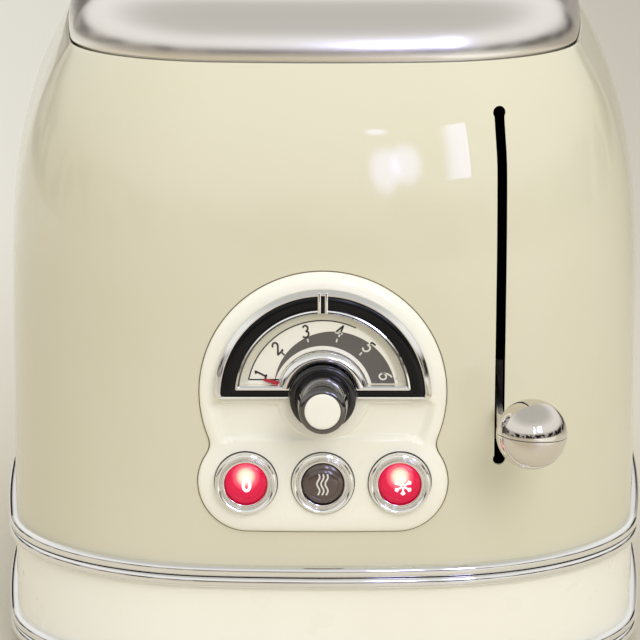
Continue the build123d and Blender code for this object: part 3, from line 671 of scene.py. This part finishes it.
def slot_loop(x, grow):
    """Outline of a bread slot, grown outwards, as (x, y) points."""
    half_x, half_y, radius = SLOT_W / 2 + grow, SLOT_LEN / 2 + grow, SLOT_CORNER_R + grow
    loop = []
    for corner, (sx, sy) in enumerate(((1, 1), (-1, 1), (-1, -1), (1, -1))):
        for i in range(9):
            a = math.pi / 2 * (corner + i / 8)
            loop.append(polar(radius, a, x + sx * (half_x - radius), SLOT_Y + sy * (half_y - radius)))
    return loop


def fill(loops, holes, extra=(), tolerance=1e-5):
    """Triangles that fill some outlines round some holes, as flat points and faces."""
    flat, edges = [], []
    for loop in [*loops, *holes]:
        first = len(flat)
        flat += [Vector(p) for p in loop]
        edges += [(first + i, first + (i + 1) % len(loop)) for i in range(len(loop))]
    flat += [Vector(p) for p in extra]
    found, _, faces, *_ = delaunay_2d_cdt(flat, edges, [], 1, tolerance)
    kept = []
    for face in faces:
        middle = sum((found[i] for i in face), Vector((0, 0))) / len(face)
        if not any(inside(middle, hole) for hole in holes):
            kept.append(face)
    return found, kept


def inside(point, loop):
    """Whether a flat point is inside a closed outline."""
    x, y = point[0], point[1]
    crossings = 0
    for (ax, ay), (bx, by) in zip(loop, loop[1:] + loop[:1]):
        if (ay > y) != (by > y) and x < ax + (y - ay) * (bx - ax) / (by - ay):
            crossings += 1
    return crossings % 2 == 1


def join_parts(name, parts, material, body="toaster", angle=SHARP_DEG):
    """One piece from several (points, faces) parts, welded where they meet."""
    points, faces = [], []
    for part_points, part_faces in parts:
        first = len(points)
        points += part_points
        faces += [tuple(first + i for i in face) for face in part_faces]
    return make_piece(name, points, faces, material, body, angle)


def lid():
    """Polished cover with two slots; each has a rolled lip and a collar turned down inside it."""
    outer = lid_profile()
    inner = lid_inner_profile(outer)
    dome = [[(x, y, z) for x, y in outline(out)] for out, z in [*reversed(inner), *outer]]
    centres = (-SLOT_X, SLOT_X)
    parts = [skin(dome)]
    for (out, z), grow in ((outer[-1], 2.6), (inner[-1], 1.0)):
        found, faces = fill([outline(out)], [slot_loop(x, grow) for x in centres])
        parts.append(([(p.x, p.y, z) for p in found], faces))
    for x in centres:
        lip = [(2.6, LID_TOP_Z), (2.3, LID_TOP_Z + 0.15)]
        lip += [polar(LIP_R, math.pi * i / 10, LIP_R, LID_TOP_Z + LIP_RISE) for i in range(11)]
        lip += [(0.0, LID_TOP_Z - 8), (1.0, LID_TOP_Z - 8), (1.0, inner[-1][1])]
        parts.append(skin([[(px, py, z) for px, py in slot_loop(x, grow)] for grow, z in lip]))
    piece = join_parts("lid_cover", parts, MAT["lid_chrome"])
    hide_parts("lid")


# ---------------------------------------------------------------- control panel
KEY_R = 9.0
EDGE_ROUND = 5.0
WALL_H = 0.35
LEDGE_Z = DIAL_Z - 2.7
KNOB_BOSS_R = 12.6
KEY_ROW_R = 13.1
VALLEY = 1.5
WAIST_BLEND = 3.0
PANEL_MIDDLE_Z = 78.0
PANEL_REACH = 60.0
GRID_STEP = 0.8
PANEL_SHARP_DEG = 50


def smooth_min(a, b, blend):
    h = max(0.0, min(1.0, 0.5 + 0.5 * (b - a) / blend))
    return b + (a - b) * h - blend * h * (1 - h)


def key_row_distance(x, z, radius):
    """Distance outside the stadium round the three buttons."""
    along = max(-LOBE_X, min(LOBE_X, x))
    return math.hypot(x - along, z - LOBE_Z) - radius


def panel_distance(x, z):
    """How far a point is outside the panel's outline; negative inside it."""
    dial = math.hypot(x, z - DIAL_Z) - PANEL_R
    return smooth_min(dial, key_row_distance(x, z, LOBE_R), WAIST_BLEND)


def panel_loop(depth):
    """The outline a given distance inside the panel's edge."""
    loop = []
    for i in range(220):
        a = 2 * math.pi * i / 220
        near, far = 0.0, PANEL_REACH
        for _ in range(30):
            middle = (near + far) / 2
            if panel_distance(*polar(middle, a, 0, PANEL_MIDDLE_Z)) < -depth:
                near = middle
            else:
                far = middle
        loop.append(polar(near, a, 0, PANEL_MIDDLE_Z))
    return loop


def panel_height(x, z):
    """Height of the panel's face above the shell."""
    depth = max(0.0, -panel_distance(x, z))
    across = min(1.0, depth / EDGE_ROUND)
    pillow = WALL_H + (PANEL_T - WALL_H) * math.sqrt(max(0.0, 1 - (1 - across) ** 2))
    under_dial = smoothstep(LEDGE_Z + 0.45, LEDGE_Z - 0.45, z)
    off_boss = smoothstep(KNOB_BOSS_R - 0.3, KNOB_BOSS_R + 0.9, math.hypot(x, z - DIAL_Z))
    off_keys = smoothstep(-0.3, 1.1, key_row_distance(x, z, KEY_ROW_R))
    off_edge = smoothstep(2.2, 5.5, depth)
    return pillow - VALLEY * under_dial * off_boss * off_keys * off_edge


def panel_y(x, z):
    return shell_y(x, z) - panel_height(x, z)


def corner_curve(start, tip, end):
    """Points between two ends, bent towards a corner's tip."""
    points = []
    for i in range(1, 8):
        t = i / 8
        weights = ((1 - t) ** 2, 2 * t * (1 - t), t * t)
        points.append(tuple(sum(w * p[k] for w, p in zip(weights, (start, tip, end))) for k in (0, 1)))
    return points


def d_loop(radius, low, corner=1.1):
    """Half disc above a line, as (x, z) points; both corners are rounded."""
    start = math.asin(low / radius)
    reach = corner / radius
    sweep = math.pi - 2 * start - 2 * reach
    arch = [polar(radius, start + reach + sweep * i / 84, 0, DIAL_Z) for i in range(85)]
    tip_x, z = radius * math.cos(start), DIAL_Z + low
    flat_x = tip_x - corner
    bar = [(-flat_x + 2 * flat_x * i / 60, z) for i in range(61)]
    left = corner_curve(arch[-1], (-tip_x, z), bar[0])
    return arch + left + bar + corner_curve(bar[-1], (tip_x, z), arch[0])


def panel_grid(holes):
    """Points that fill the inside of the panel, closer together where its face bends."""
    spots = []
    rows = [DIAL_Z + PANEL_R - GRID_STEP * i for i in range(110)]
    rows = [z for z in rows if abs(z - LEDGE_Z) > 0.9] + [LEDGE_Z - 0.9 + 0.15 * i for i in range(13)]
    for z in rows:
        for i in range(-50, 51):
            x = GRID_STEP * i + (0.05 if i % 2 else 0.0)
            on_boss = abs(math.hypot(x, z - DIAL_Z) - KNOB_BOSS_R - 0.4) < 1.3 and z < LEDGE_Z - 1
            if panel_distance(x, z) <= -EDGE_ROUND - 0.4 and not on_boss:
                spots.append((x, z))
    for k in range(9):
        angles = [math.pi + math.pi * (i + 0.5) / 110 for i in range(110)]
        circle = [polar(KNOB_BOSS_R - 0.7 + 0.275 * k, a, 0, DIAL_Z) for a in angles]
        spots += [(x, z) for x, z in circle if z < LEDGE_Z - 1]
    return [spot for spot in spots if not any(inside(spot, hole) for hole in holes)]


def panel_holes():
    holes = [d_loop(FRAME_R - 1.5, BAR_LOW + 1.2)]
    holes += [disc_loop(x, BUTTON_Z, KEY_R) for x in (-BUTTON_X, 0, BUTTON_X)]
    return holes


def panel():
    """Moulded fascia with a cushioned rim, a flat seat for the dial and a raised row for the buttons."""
    depths = [0, 0.03, 0.1, 0.22, 0.4, 0.65, 1.0, 1.4, 1.9, 2.5, 3.1, 3.7, 4.3, 5.0]
    loops = [panel_loop(depth) for depth in depths]
    holes = panel_holes()
    found, faces = fill(loops, holes, panel_grid(holes), 1e-4)
    top = ([(p.x, panel_y(p.x, p.y), p.y) for p in found], faces)
    wall = skin([[(x, shell_y(x, z) + lift, z) for x, z in loops[0]] for lift in (-WALL_H, 0.4)])
    parts = [top, wall]
    for hole in holes:
        parts.append(skin([[(x, panel_y(x, z) + sink, z) for x, z in hole] for sink in (0, 2.0)]))
    piece = join_parts("panel", parts, MAT["panel_ivory"], angle=PANEL_SHARP_DEG)
    smooth_normals(piece)
    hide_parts("control_panel")
    # Painted shade: a thin brown strip round the panel's edge stands in for the shade in its seam.
    section = [(-0.28, -0.06), (0.05, -0.06), (0.05, 0.3), (-0.28, 0.3)]
    seam_loops = [[(x, shell_y(x, z) + lift, z) for x, z in panel_loop(depth)] for depth, lift in section]
    seam = loft("panel_gasket", seam_loops, MAT["gasket"])


def smooth_normals(piece):
    """Sets the face's shading from the height formula, so that its gloss is even."""
    mesh = piece.data
    normals = []
    step = 0.05
    for vertex in mesh.vertices:
        x, z = vertex.co.x / MM, vertex.co.z / MM
        slope_x = (panel_y(x + step, z) - panel_y(x - step, z)) / (2 * step)
        slope_z = (panel_y(x, z + step) - panel_y(x, z - step)) / (2 * step)
        normals.append(Vector((slope_x, -1, slope_z)).normalized())
    corner_normals = []
    for polygon in mesh.polygons:
        facing_front = polygon.normal.y < -0.35
        for index in polygon.loop_indices:
            corner = mesh.loops[index].vertex_index
            corner_normals.append(normals[corner] if facing_front else polygon.normal.copy())
    mesh.normals_split_custom_set(corner_normals)


# ---------------------------------------------------------------- dial
BAR_LEVELS = [(-0.11, -0.95), (0.21, 0.15), (0.80, 1.65), (1.0, 2.95)]


def frame_loop(share, height):
    """The dial frame's outline, a share of the way from its outer edge to its inner edge."""
    radius = FRAME_R - (FRAME_R - PLATE_R) * share
    for (share_a, low_a), (share_b, low_b) in zip(BAR_LEVELS, BAR_LEVELS[1:]):
        if share_a <= share <= share_b:
            low = low_a + (low_b - low_a) * (share - share_a) / (share_b - share_a)
    return on_seat(d_loop(radius, low, 1.3 - 0.9 * share), height)


def knob_hole_cutter():
    circle = disc_loop(0, DIAL_Z, KNOB_HOLE_R, 96)
    return prism("hole_cutter", circle, SEAT_Y + 10, SEAT_Y - 10, MAT["chrome"])


FRAME_RIMS = [
    (-0.11, 1.2), (-0.11, 2.7), (-0.10, 2.9), (-0.02, 3.5), (0.06, 3.95), (0.12, 4.2), (0.17, 4.15),
    (0.20, 3.8), (0.21, 3.4), (0.21, 3.1), (0.80, 3.1), (0.80, 3.5), (0.83, 3.85), (0.89, 4.0),
    (0.95, 3.85), (1.0, 3.5), (1.0, 0.9),
]
INLAY_ROWS = [
    (0.21, 3.2), (0.21, 3.5), (0.28, 3.7), (0.4, 3.84), (0.51, 3.88), (0.62, 3.84), (0.73, 3.7),
    (0.80, 3.5), (0.80, 3.2),
]
ARCH_SECTION = [
    (9.6, 0.9), (9.6, 3.7), (9.8, 4.1), (10.2, 4.36), (10.8, 4.42), (11.5, 4.25), (12.2, 3.8),
    (12.8, 3.1), (13.0, 2.5), (13.0, 0.9),
]
ARCH_FROM_DEG = 13.5
RAIL_X = 0.98


def dial_frame():
    """Chromed half ring and bar with a black inlay let into them, and a half ring round the knob."""
    frame_piece = loft("dial_frame", [frame_loop(*row) for row in FRAME_RIMS], MAT["chrome"])
    carve(frame_piece, knob_hole_cutter())
    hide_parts("dial_bezel")
    inlay = loft("dial_inlay", [frame_loop(*row) for row in INLAY_ROWS], MAT["dark_inlay"])
    carve(inlay, knob_hole_cutter())
    loops = []
    for i in range(73):
        a = math.radians(ARCH_FROM_DEG + (180 - 2 * ARCH_FROM_DEG) * i / 72)
        loops.append([on_seat([polar(r, a, 0, DIAL_Z)], height)[0] for r, height in ARCH_SECTION])
    hub = loft("dial_arch", loops, MAT["chrome"], closed=False, capped=True)
    for x in (-RAIL_X, RAIL_X):
        sides, ends = (x - 0.45, x + 0.45), (PLATE_R + 0.2, FRAME_R - 0.1)
        rail = rounded_block(f"marker_rail_{x > 0:d}", sides, ends, 3.2, 4.5)
        rail.data.materials[0] = MAT["chrome"]
    strip = rounded_block("marker_strip", (-0.6, 0.6), (PLATE_R + 0.3, FRAME_R - 0.9), 3.2, 4.25)


def rounded_block(name, x_range, z_range, back, front):
    """A small bar standing on the dial frame, with rounded front edges; z is from the dial's centre."""
    edge = 0.18
    loops = []
    for shrink, height in ((0, back), (0, front - edge), (edge * 0.3, front - edge * 0.3), (edge, front)):
        left, right = x_range[0] + shrink, x_range[1] - shrink
        low, high = DIAL_Z + z_range[0] + shrink, DIAL_Z + z_range[1] - shrink
        corners = [(left, low, edge), (right, low, edge), (right, high, edge), (left, high, edge)]
        loops.append(on_seat(rounded(corners, 3), height))
    return loft(name, loops, MAT["dark_inlay"], closed=False, capped=True)


SCALE_R = 21.1
SCALE_LOW = 3.15
LINE_LOW = 4.3
PLATE_LEVEL = 1.0
CRESCENT_INNER_R = 13.9
CRESCENT_END_DEG = 165


def crescent_outer(degrees):
    """Radius of the grey crescent's outer edge; it grows from the light end to the dark end."""
    share = min(1.0, max(0.0, (CRESCENT_END_DEG - degrees) / CRESCENT_END_DEG))
    return CRESCENT_INNER_R + 0.1 + 6.35 * math.sin(share * math.pi / 2) ** 1.25


def stroke(path, width, height):
    """Points and faces of a thin raised line along (x, z) points; height gives how far it stands out."""
    rows = []
    last = len(path) - 1
    for i, (x, z) in enumerate(path):
        before, after = path[max(0, i - 1)], path[min(last, i + 1)]
        along = Vector((after[0] - before[0], after[1] - before[1])).normalized()
        sx, sz = -along.y * width / 2, along.x * width / 2
        for side, sink in ((1, 0), (-1, 0), (-1, 0.12), (1, 0.12)):
            px, pz = x + side * sx, z + side * sz
            rows.append((px, SEAT_Y - height(px, pz) + sink, pz))
    faces = grid_faces(len(path), 4, False)
    faces += [(3, 2, 1, 0), (4 * last, 4 * last + 1, 4 * last + 2, 4 * last + 3)]
    return rows, faces


def finer(path, step=0.12):
    """The same line with points no further apart than the step."""
    out = [path[0]]
    for (ax, az), (bx, bz) in zip(path, path[1:]):
        count = max(1, math.ceil(math.hypot(bx - ax, bz - az) / step))
        out += [(ax + (bx - ax) * i / count, az + (bz - az) * i / count) for i in range(1, count + 1)]
    return out


def arc(cx, cy, rx, ry, start, end, count=14):
    """Points along part of an oval; the angles are in degrees."""
    angles = [math.radians(start + (end - start) * i / count) for i in range(count + 1)]
    return [(cx + rx * math.cos(a), cy + ry * math.sin(a)) for a in angles]


DIGITS = {
    1: [[(0.05, -0.5), (0.05, 0.5), (-0.13, 0.36)], [(-0.12, -0.5), (0.22, -0.5)]],
    2: [[*arc(0, 0.24, 0.24, 0.26, 170, -30), (-0.27, -0.48), (0.27, -0.48), (0.30, -0.36)]],
    3: [[*arc(0, 0.25, 0.22, 0.25, 150, -85)], [*arc(-0.02, -0.24, 0.27, 0.26, 85, -155)]],
    4: [[(0.12, -0.5), (0.12, 0.5), (-0.3, -0.2), (0.32, -0.2)]],
    5: [[(0.27, 0.5), (-0.1, 0.48), (-0.17, 0.08), *arc(-0.02, -0.2, 0.27, 0.3, 115, -150)]],
    6: [[*arc(0.3, -0.2, 0.56, 0.7, 100, 178)], [*arc(0, -0.22, 0.26, 0.28, 0, 360, 20)]],
}
DIGIT_PLACES = {
    1: (161.5, 18.3), 2: (134, 18.4), 3: (105, 18.6), 4: (75.5, 18.7), 5: (47, 18.6), 6: (17, 18.2),
}
DIGIT_H = 3.3
DIGIT_SLANT = 0.14
DIGIT_STROKE = 0.48
TICK_STROKE = 0.42
TICKS = [(133.5, 16.0), (105, 16.0), (76, 15.9), (48, 15.7), (12.6, 21.0)]


def dial_marks():
    """Lines of the printed scale, each as a path of (x, z) points with its width."""
    marks = []
    for digit, (degrees, radius) in DIGIT_PLACES.items():
        a = math.radians(degrees)
        for path in DIGITS[digit]:
            placed = []
            for u, v in path:
                across, up = DIGIT_H * (u + DIGIT_SLANT * v), DIGIT_H * v
                out_x, out_z = math.cos(a), math.sin(a)
                x = (radius + up) * out_x + across * out_z
                z = (radius + up) * out_z - across * out_x
                placed.append((x, DIAL_Z + z))
            marks.append((placed, DIGIT_STROKE))
    for degrees, radius in TICKS:
        a = math.radians(degrees)
        marks.append(([polar(r, a, 0, DIAL_Z) for r in (radius - 0.5, radius + 0.5)], TICK_STROKE))
    return marks


def in_crescent(x, z):
    degrees = math.degrees(math.atan2(z - DIAL_Z, x))
    return math.hypot(x, z - DIAL_Z) < crescent_outer(degrees) or degrees < 15


def crescent_outline():
    """The grey crescent, from its thin end over the top to its cut end."""
    low = SCALE_LOW + 0.1
    low_outer = math.degrees(math.asin(low / 20.3))
    low_inner = math.degrees(math.asin(low / CRESCENT_INNER_R))
    outer = []
    for i in range(61):
        degrees = low_outer + (CRESCENT_END_DEG - low_outer) * i / 60
        outer.append(polar(crescent_outer(degrees), math.radians(degrees), 0, DIAL_Z))
    return outer + arc(0, DIAL_Z, CRESCENT_INNER_R, CRESCENT_INNER_R, CRESCENT_END_DEG, low_inner, 60)


def mark_height(x, z):
    """The dial's marks all stand equally high, wherever they are."""
    return PLATE_LEVEL + 0.11


def split_marks():
    """The scale's printed lines as dark parts outside the crescent and light parts inside it, and the line
    at the plate's edge as painted shadow and painted highlight.
    """
    dark, light = [], []
    for path, width in dial_marks():
        points = finer(path)
        start = 0
        for i in range(1, len(points) + 1):
            state = in_crescent(*points[i - 1])
            if i == len(points) or in_crescent(*points[i]) != state:
                run = points[max(0, start - 1) : i]
                if len(run) > 1:
                    (light if state else dark).append(stroke(run, width, mark_height))
                start = i
    # The line at the plate's edge: painted shadow along its top and left, painted highlight on its right.
    line = d_loop(SCALE_R, LINE_LOW, 0.3)
    painted_shadow_line = [(x, z) for x, z in line[28:] if x < -12 or z > DIAL_Z + 6]
    dark.append(stroke(painted_shadow_line, 0.34, mark_height))
    light.append(stroke(line[:29], 0.3, mark_height))
    return dark, light


def dial():
    """Scale plate with its sloping border, the printed crescent, numerals and ticks."""
    foot_r, foot_low = PLATE_R - 0.02, BAR_HIGH - 0.1
    slope = [(foot_r, foot_low, 2.3), (SCALE_R, SCALE_LOW, PLATE_LEVEL)]
    slope += [(SCALE_R, SCALE_LOW, 0.4), (foot_r, foot_low, 0.4)]
    border = [on_seat(d_loop(r, low, 0.4), height) for r, low, height in slope]
    border_piece = loft("dial_border", border, MAT["dial_ring"])
    plate = d_loop(SCALE_R, SCALE_LOW, 0.3)
    disc_piece = prism("dial_scale", plate, SEAT_Y - 0.4, SEAT_Y - PLATE_LEVEL, MAT["dial_print"])
    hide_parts("dial_plate")
    crescent_y = SEAT_Y - PLATE_LEVEL - 0.06
    crescent = prism("dial_crescent", crescent_outline(), SEAT_Y - 0.6, crescent_y, MAT["dial_grey"])
    dark, light = split_marks()
    dark_piece = join_parts("dial_marks_dark", dark, MAT["dial_ink"])
    light_piece = join_parts("dial_marks_light", light, MAT["dial_white"])


# ---------------------------------------------------------------- knob
KNOB_END_R = 6.6
KNOB_END = 22.35
KNOB_ROUND = 1.55


def knob():
    """Black collar, tapered chrome body with a rounded end, painted dark to stand in for its dark
    reflections, and a pale disc let into the end.
    """
    skirt = [(3.0, 1.7), (SKIRT_R, 1.7), (SKIRT_R, 5.4), (SKIRT_R - 0.15, 5.95), (SKIRT_R - 0.6, 6.3)]
    skirt += [(8.2, 6.4), (3, 6.4)]
    lathe("knob_collar", skirt, 0, DIAL_Z, MAT["black_plastic"], "knob", "knob_skirt")
    body = [(3.0, 6.4), (7.75, 6.4), (7.75, 6.9), (7.5, 7.3), (7.42, 8.4), (6.62, 20.6)]
    turns = [math.pi / 2 * i / 8 for i in range(1, 9)]
    body += [polar(KNOB_ROUND, a, KNOB_END_R - KNOB_ROUND, KNOB_END - KNOB_ROUND) for a in turns]
    body += [(4.95, 22.3), (4.95, 22.0), (3.0, 22.0), (3.0, 12.0)]
    lathe("knob_body", body, 0, DIAL_Z, MAT["dark_chrome"], "knob", "browning_knob")
    face = [(0, 21.9), (4.93, 21.9), (4.93, 22.3), (4.8, 22.4), (4.0, 22.44), (2.0, 22.47), (0, 22.48)]
    lathe("knob_face", face, 0, DIAL_Z, MAT["knob_face"], "knob", None)


def lathe(name, section, x, z, material, body, node):
    """Turns a section of (radius, height in front of the dial's seat) about a line along Y."""
    loops = [on_seat(disc_loop(x, z, r, 96), height) for r, height in section]
    piece = loft(name, loops, material, body)
    if node:
        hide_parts(node)
    return piece


# ---------------------------------------------------------------- buttons
LENS = [
    (5.72, 2.3), (5.62, 2.5), (5.4, 2.64), (4.62, 2.86), (4.5, 2.78), (4.3, 2.76), (4.15, 2.9),
    (3.0, 3.14), (1.5, 3.3), (0, 3.35),
]
BUTTON_RING = [
    (6.0, -4.4), (7.4, -4.4), (7.4, 0), (8.7, 0), (8.7, 2.3), (8.6, 2.75), (8.35, 3.1), (8.0, 3.22),
    (7.6, 3.1), (7.3, 2.8), (7.2, 2.5), (7.02, 2.5), (6.95, 2.8), (6.75, 3.05), (6.4, 3.12), (6.12, 3.0),
    (6.0, 2.7), (6.0, 2.1),
]
MARK_TOP = 3.42
MARK_DROP = 0.0306


def lens_height(x, z, centre_x):
    """Height of a button's domed face in front of the seat."""
    return MARK_TOP - MARK_DROP * ((x - centre_x) ** 2 + (z - BUTTON_Z) ** 2)


def wave(x, low, high, sway):
    """An upright wavy line."""
    shares = [i / 26 for i in range(27)]
    return [(x + sway * math.sin(share * 3 * math.pi - 0.4), low + (high - low) * share) for share in shares]


def glyph_off(x):
    """A ring, as (path, width)."""
    return [(arc(x + 0.2, BUTTON_Z - 0.2, 0.95, 1.65, 80, 460, 28), 0.85)]


def glyph_heat(x):
    """Three wavy lines."""
    return [(wave(x + dx, BUTTON_Z - 3.1, BUTTON_Z + 2.9, 0.38), 0.46) for dx in (-1.25, -0.1, 1.05)]


def glyph_frost(x):
    """A snowflake with six forked arms."""
    marks = []
    cx, cz = x + 0.9, BUTTON_Z - 0.5
    for k in range(6):
        a = math.radians(30 + 60 * k)
        marks.append(([polar(r, a, cx, cz) for r in (0.25, 2.6)], 0.52))
        root = polar(1.4, a, cx, cz)
        marks += [([root, polar(1.05, a + turn, *root)], 0.42) for turn in (-0.55, 0.55)]
    return marks


def button(name, x, lens_material, mark_material, glyph):
    """A bright ring, the key that slides in it and the sign on the key."""
    lathe(name + "_ring", BUTTON_RING, x, BUTTON_Z, MAT["chrome"], "toaster", name + "_bezel")
    body = name + "_key"
    lens_section = [(0, -13.3), (2.4, -13.3), (2.4, -3.1), (5.72, -3.1), *LENS]
    lathe(name + "_lens", lens_section, x, BUTTON_Z, lens_material, body, name + "_button")
    parts = []
    for path, width in glyph(x):
        parts.append(stroke(finer(path, 0.3), width, lambda px, pz: lens_height(px, pz, x)))
    mark = join_parts(name + "_mark", parts, mark_material, body)


def buttons():
    for name, x, glyph in (("cancel", -BUTTON_X, glyph_off), ("defrost", BUTTON_X, glyph_frost)):
        lens = painted_glow_lens(name + "_lens", (x, SEAT_Y - 3.3, BUTTON_Z + 2.2), 1.0)
        button(name, x, lens, MAT["lit_mark"], glyph)
    button("reheat", 0, MAT["smoke_lens"], MAT["lens_mark"], glyph_heat)


# ---------------------------------------------------------------- lever ball
BALL_LEAN_DEG = 3.5


def ball_half(side):
    """Half of the lever's ball, with a small step at the parting line, which leans a little."""
    node = "lever_ball_top" if side > 0 else "lever_ball_bottom"
    low, high = box_mm(node)
    radius = (high[0] - low[0]) / 2
    centre = Vector(((low[0] + high[0]) / 2, (low[1] + high[1]) / 2, low[2] if side > 0 else high[2]))
    section = [(0, 0.04), (radius - 0.22, 0.04), (radius - 0.1, 0.07), (radius - 0.02, 0.15)]
    section += [polar(radius, math.radians(1.6 + 88.4 * i / 40)) for i in range(41)]
    lean = Matrix.Rotation(math.radians(BALL_LEAN_DEG), 3, "Y")
    loops = []
    for r, h in section:
        loops.append([centre + lean @ Vector((x, y, side * h)) for x, y in disc_loop(0, 0, r, 96)])
    piece = loft(node + "_shell", loops, MAT["ball_chrome"], "lift", False)
    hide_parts(node)


# ---------------------------------------------------------------- studio
AIM_Z = 0.12
GLOSS_TINT = (0.5, 0.52, 1.0)
GLOSS_BRIGHTNESS = 27.0
GLOSS_DISTANCE = 2.5
WINDOW_FADE = [(0.0, 0.03), (0.2, 0.35), (0.4, 0.85), (0.6, 1.0), (1.0, 1.0)]
SOFT_FADE = [(0.0, 1.0), (0.25, 0.85), (0.42, 0.15), (0.5, 0.0)]
FLOOR_COLOUR = srgb(220, 213, 197)
FLOOR_LEFT = srgb(255, 254, 246)
FLOOR_RIGHT = srgb(176, 167, 148)
FLOOR_FRONT = srgb(198, 187, 165)


def studio():
    bpy.ops.mesh.primitive_plane_add(size=6)
    floor = bpy.context.object
    floor.name = "studio_floor"
    floor.data.materials.append(floor_paint())
    room_light()


def floor_paint():
    """Pale table; well behind the toaster it is lighter on the left and greyer on the right. In front of it
    the table is beige on the left and has a painted pool of light on the right.
    """
    shader = Shader("studio_floor", FLOOR_COLOUR, 0.45)
    x, y = shader.axis(shader.place, "X"), shader.axis(shader.place, "Y")
    backdrop = shader.ramp(shader.span(x, -0.4, 0.4), [(0.0, FLOOR_LEFT), (1.0, FLOOR_RIGHT)])
    # Painted pool of light: in front, the table turns white towards the right.
    front = shader.ramp(shader.span(x, 0.1, 0.35), [(0.0, FLOOR_FRONT), (1.0, FLOOR_LEFT)])
    near = shader.mix(shader.span(y, -0.32, -0.22), front, FLOOR_COLOUR)
    shader.feed(shader.mix(shader.span(y, 0.1, 0.6), near, backdrop), "Base Color")
    return shader.material


ROOM = [
    (0.0, (0.50, 0.47, 0.41, 1)),
    (0.50, (0.62, 0.57, 0.52, 1)),
    (0.57, (0.74, 0.70, 0.66, 1)),
    (0.64, (1.38, 1.36, 1.32, 1)),
    (0.76, (1.42, 1.41, 1.38, 1)),
    (0.90, (0.94, 0.93, 0.89, 1)),
    (1.0, (0.90, 0.89, 0.84, 1)),
]
FURNITURE = (0.03, 0.022, 0.02, 1)
ROOM_STRENGTH = 0.66


def greys(*stops):
    """Ramp stops from (position, level) pairs."""
    return [(position, (level, level, level, 1)) for position, level in stops]


def room_light():
    """Even light from a pale room with dark furniture in patches round the horizon."""
    world = bpy.data.worlds.new("studio")
    bpy.context.scene.world = world
    world.use_nodes = True
    graph = Graph(world.node_tree)
    around = graph.add("ShaderNodeTexCoord").outputs["Generated"]
    height = graph.span(graph.axis(around, "Z"), -1, 1)
    near_horizon = graph.ramp(height, greys((0.485, 0), (0.505, 1), (0.57, 1), (0.61, 0)))
    patches = graph.ramp(graph.noise_at(around, 4.6, 4.0), greys((0.49, 1), (0.53, 0)))
    both = graph.add("ShaderNodeMath", operation="MULTIPLY")
    graph.join(near_horizon, both.inputs[0])
    graph.join(patches, both.inputs[1])
    seen = graph.mix(both.outputs["Value"], graph.ramp(height, ROOM), FURNITURE)
    background = graph.nodes["Background"]
    graph.join(seen, background.inputs["Color"])
    background.inputs["Strength"].default_value = ROOM_STRENGTH


def area_light(name, azimuth, elevation, distance, width, height, power, colour, glossy=True):
    """A soft box aimed at the toaster; azimuth 0 is in front of it and 90 is to its right."""
    light = bpy.data.lights.new(name, "AREA")
    light.shape = "RECTANGLE"
    light.size = width
    light.size_y = height
    light.energy = power
    light.color = colour
    obj = bpy.data.objects.new(name, light)
    a, e = math.radians(azimuth), math.radians(elevation)
    place = Vector((math.sin(a) * math.cos(e), -math.cos(a) * math.cos(e), math.sin(e))) * distance
    obj.location = place + Vector((0, 0, AIM_Z))
    obj.rotation_euler = (-place).to_track_quat("-Z", "Y").to_euler()
    obj.visible_glossy = glossy
    bpy.context.scene.collection.objects.link(obj)
    return light


def gloss_light(name, azimuth, elevation, width, height, stops, letter=None):
    """A cool bright opening that shows in glossy surfaces only."""
    power = GLOSS_BRIGHTNESS * width * height
    light = area_light(name, azimuth, elevation, GLOSS_DISTANCE, width, height, power, GLOSS_TINT)
    bpy.data.objects[name].visible_diffuse = False
    fade(light, stops, letter)


def fade(light, stops, letter):
    """Makes a light weaker across one of its sides, or from its middle outwards where none is given."""
    light.use_nodes = True
    graph = Graph(light.node_tree)
    place = graph.add("ShaderNodeNewGeometry").outputs["Parametric"]
    source = graph.axis(place, letter) if letter else graph.distance(place, (0.5, 0.5, 0))
    graph.join(graph.ramp(source, greys(*stops)), graph.nodes["Emission"].inputs["Color"])


CAMERA_PITCH = 0.205
CAMERA_YAW = -0.0045
CAMERA_DISTANCE = 1.1825
CAMERA_TARGET_X = -0.0008
CAMERA_TARGET_Z = 0.1121
CAMERA_LENS = 239.4


def camera():
    """Looks at the front of the toaster from a little above it."""
    target = Vector((CAMERA_TARGET_X, FRONT_Y * MM, CAMERA_TARGET_Z))
    level = math.cos(CAMERA_PITCH)
    forward = Vector((math.sin(CAMERA_YAW) * level, math.cos(CAMERA_YAW) * level, -math.sin(CAMERA_PITCH)))
    data = bpy.data.cameras.new("camera")
    data.lens = CAMERA_LENS
    data.sensor_width = 36
    obj = bpy.data.objects.new("camera", data)
    obj.location = target - CAMERA_DISTANCE * forward
    obj.rotation_euler = forward.to_track_quat("-Z", "Y").to_euler()
    bpy.context.scene.collection.objects.link(obj)
    bpy.context.scene.camera = obj


dress_cad_nodes()
shell()
for node in ("upper_band", "lower_band"):
    band(node)
lid()
panel()
dial_frame()
dial()
knob()
buttons()
for side in (1, -1):
    ball_half(side)
studio()
gloss_light("window", 24.8, 24.3, 0.62, 0.74, WINDOW_FADE, "X")
gloss_light("doorway_left", 7.5, 19.4, 0.21, 0.78, SOFT_FADE)
gloss_light("doorway_right", 10.2, 21.2, 0.21, 0.70, SOFT_FADE)
gloss_light("lamp", 6.8, 31.5, 0.15, 0.12, SOFT_FADE)
area_light("side_window", 20, 30, 2.2, 0.9, 1.0, 12, (1.0, 1.0, 0.99), False)
area_light("ceiling", -10, 78, 2.2, 2.5, 2.5, 18, (1.0, 0.99, 0.97), False)
camera()
bpy.context.scene.view_settings.view_transform = "Standard"
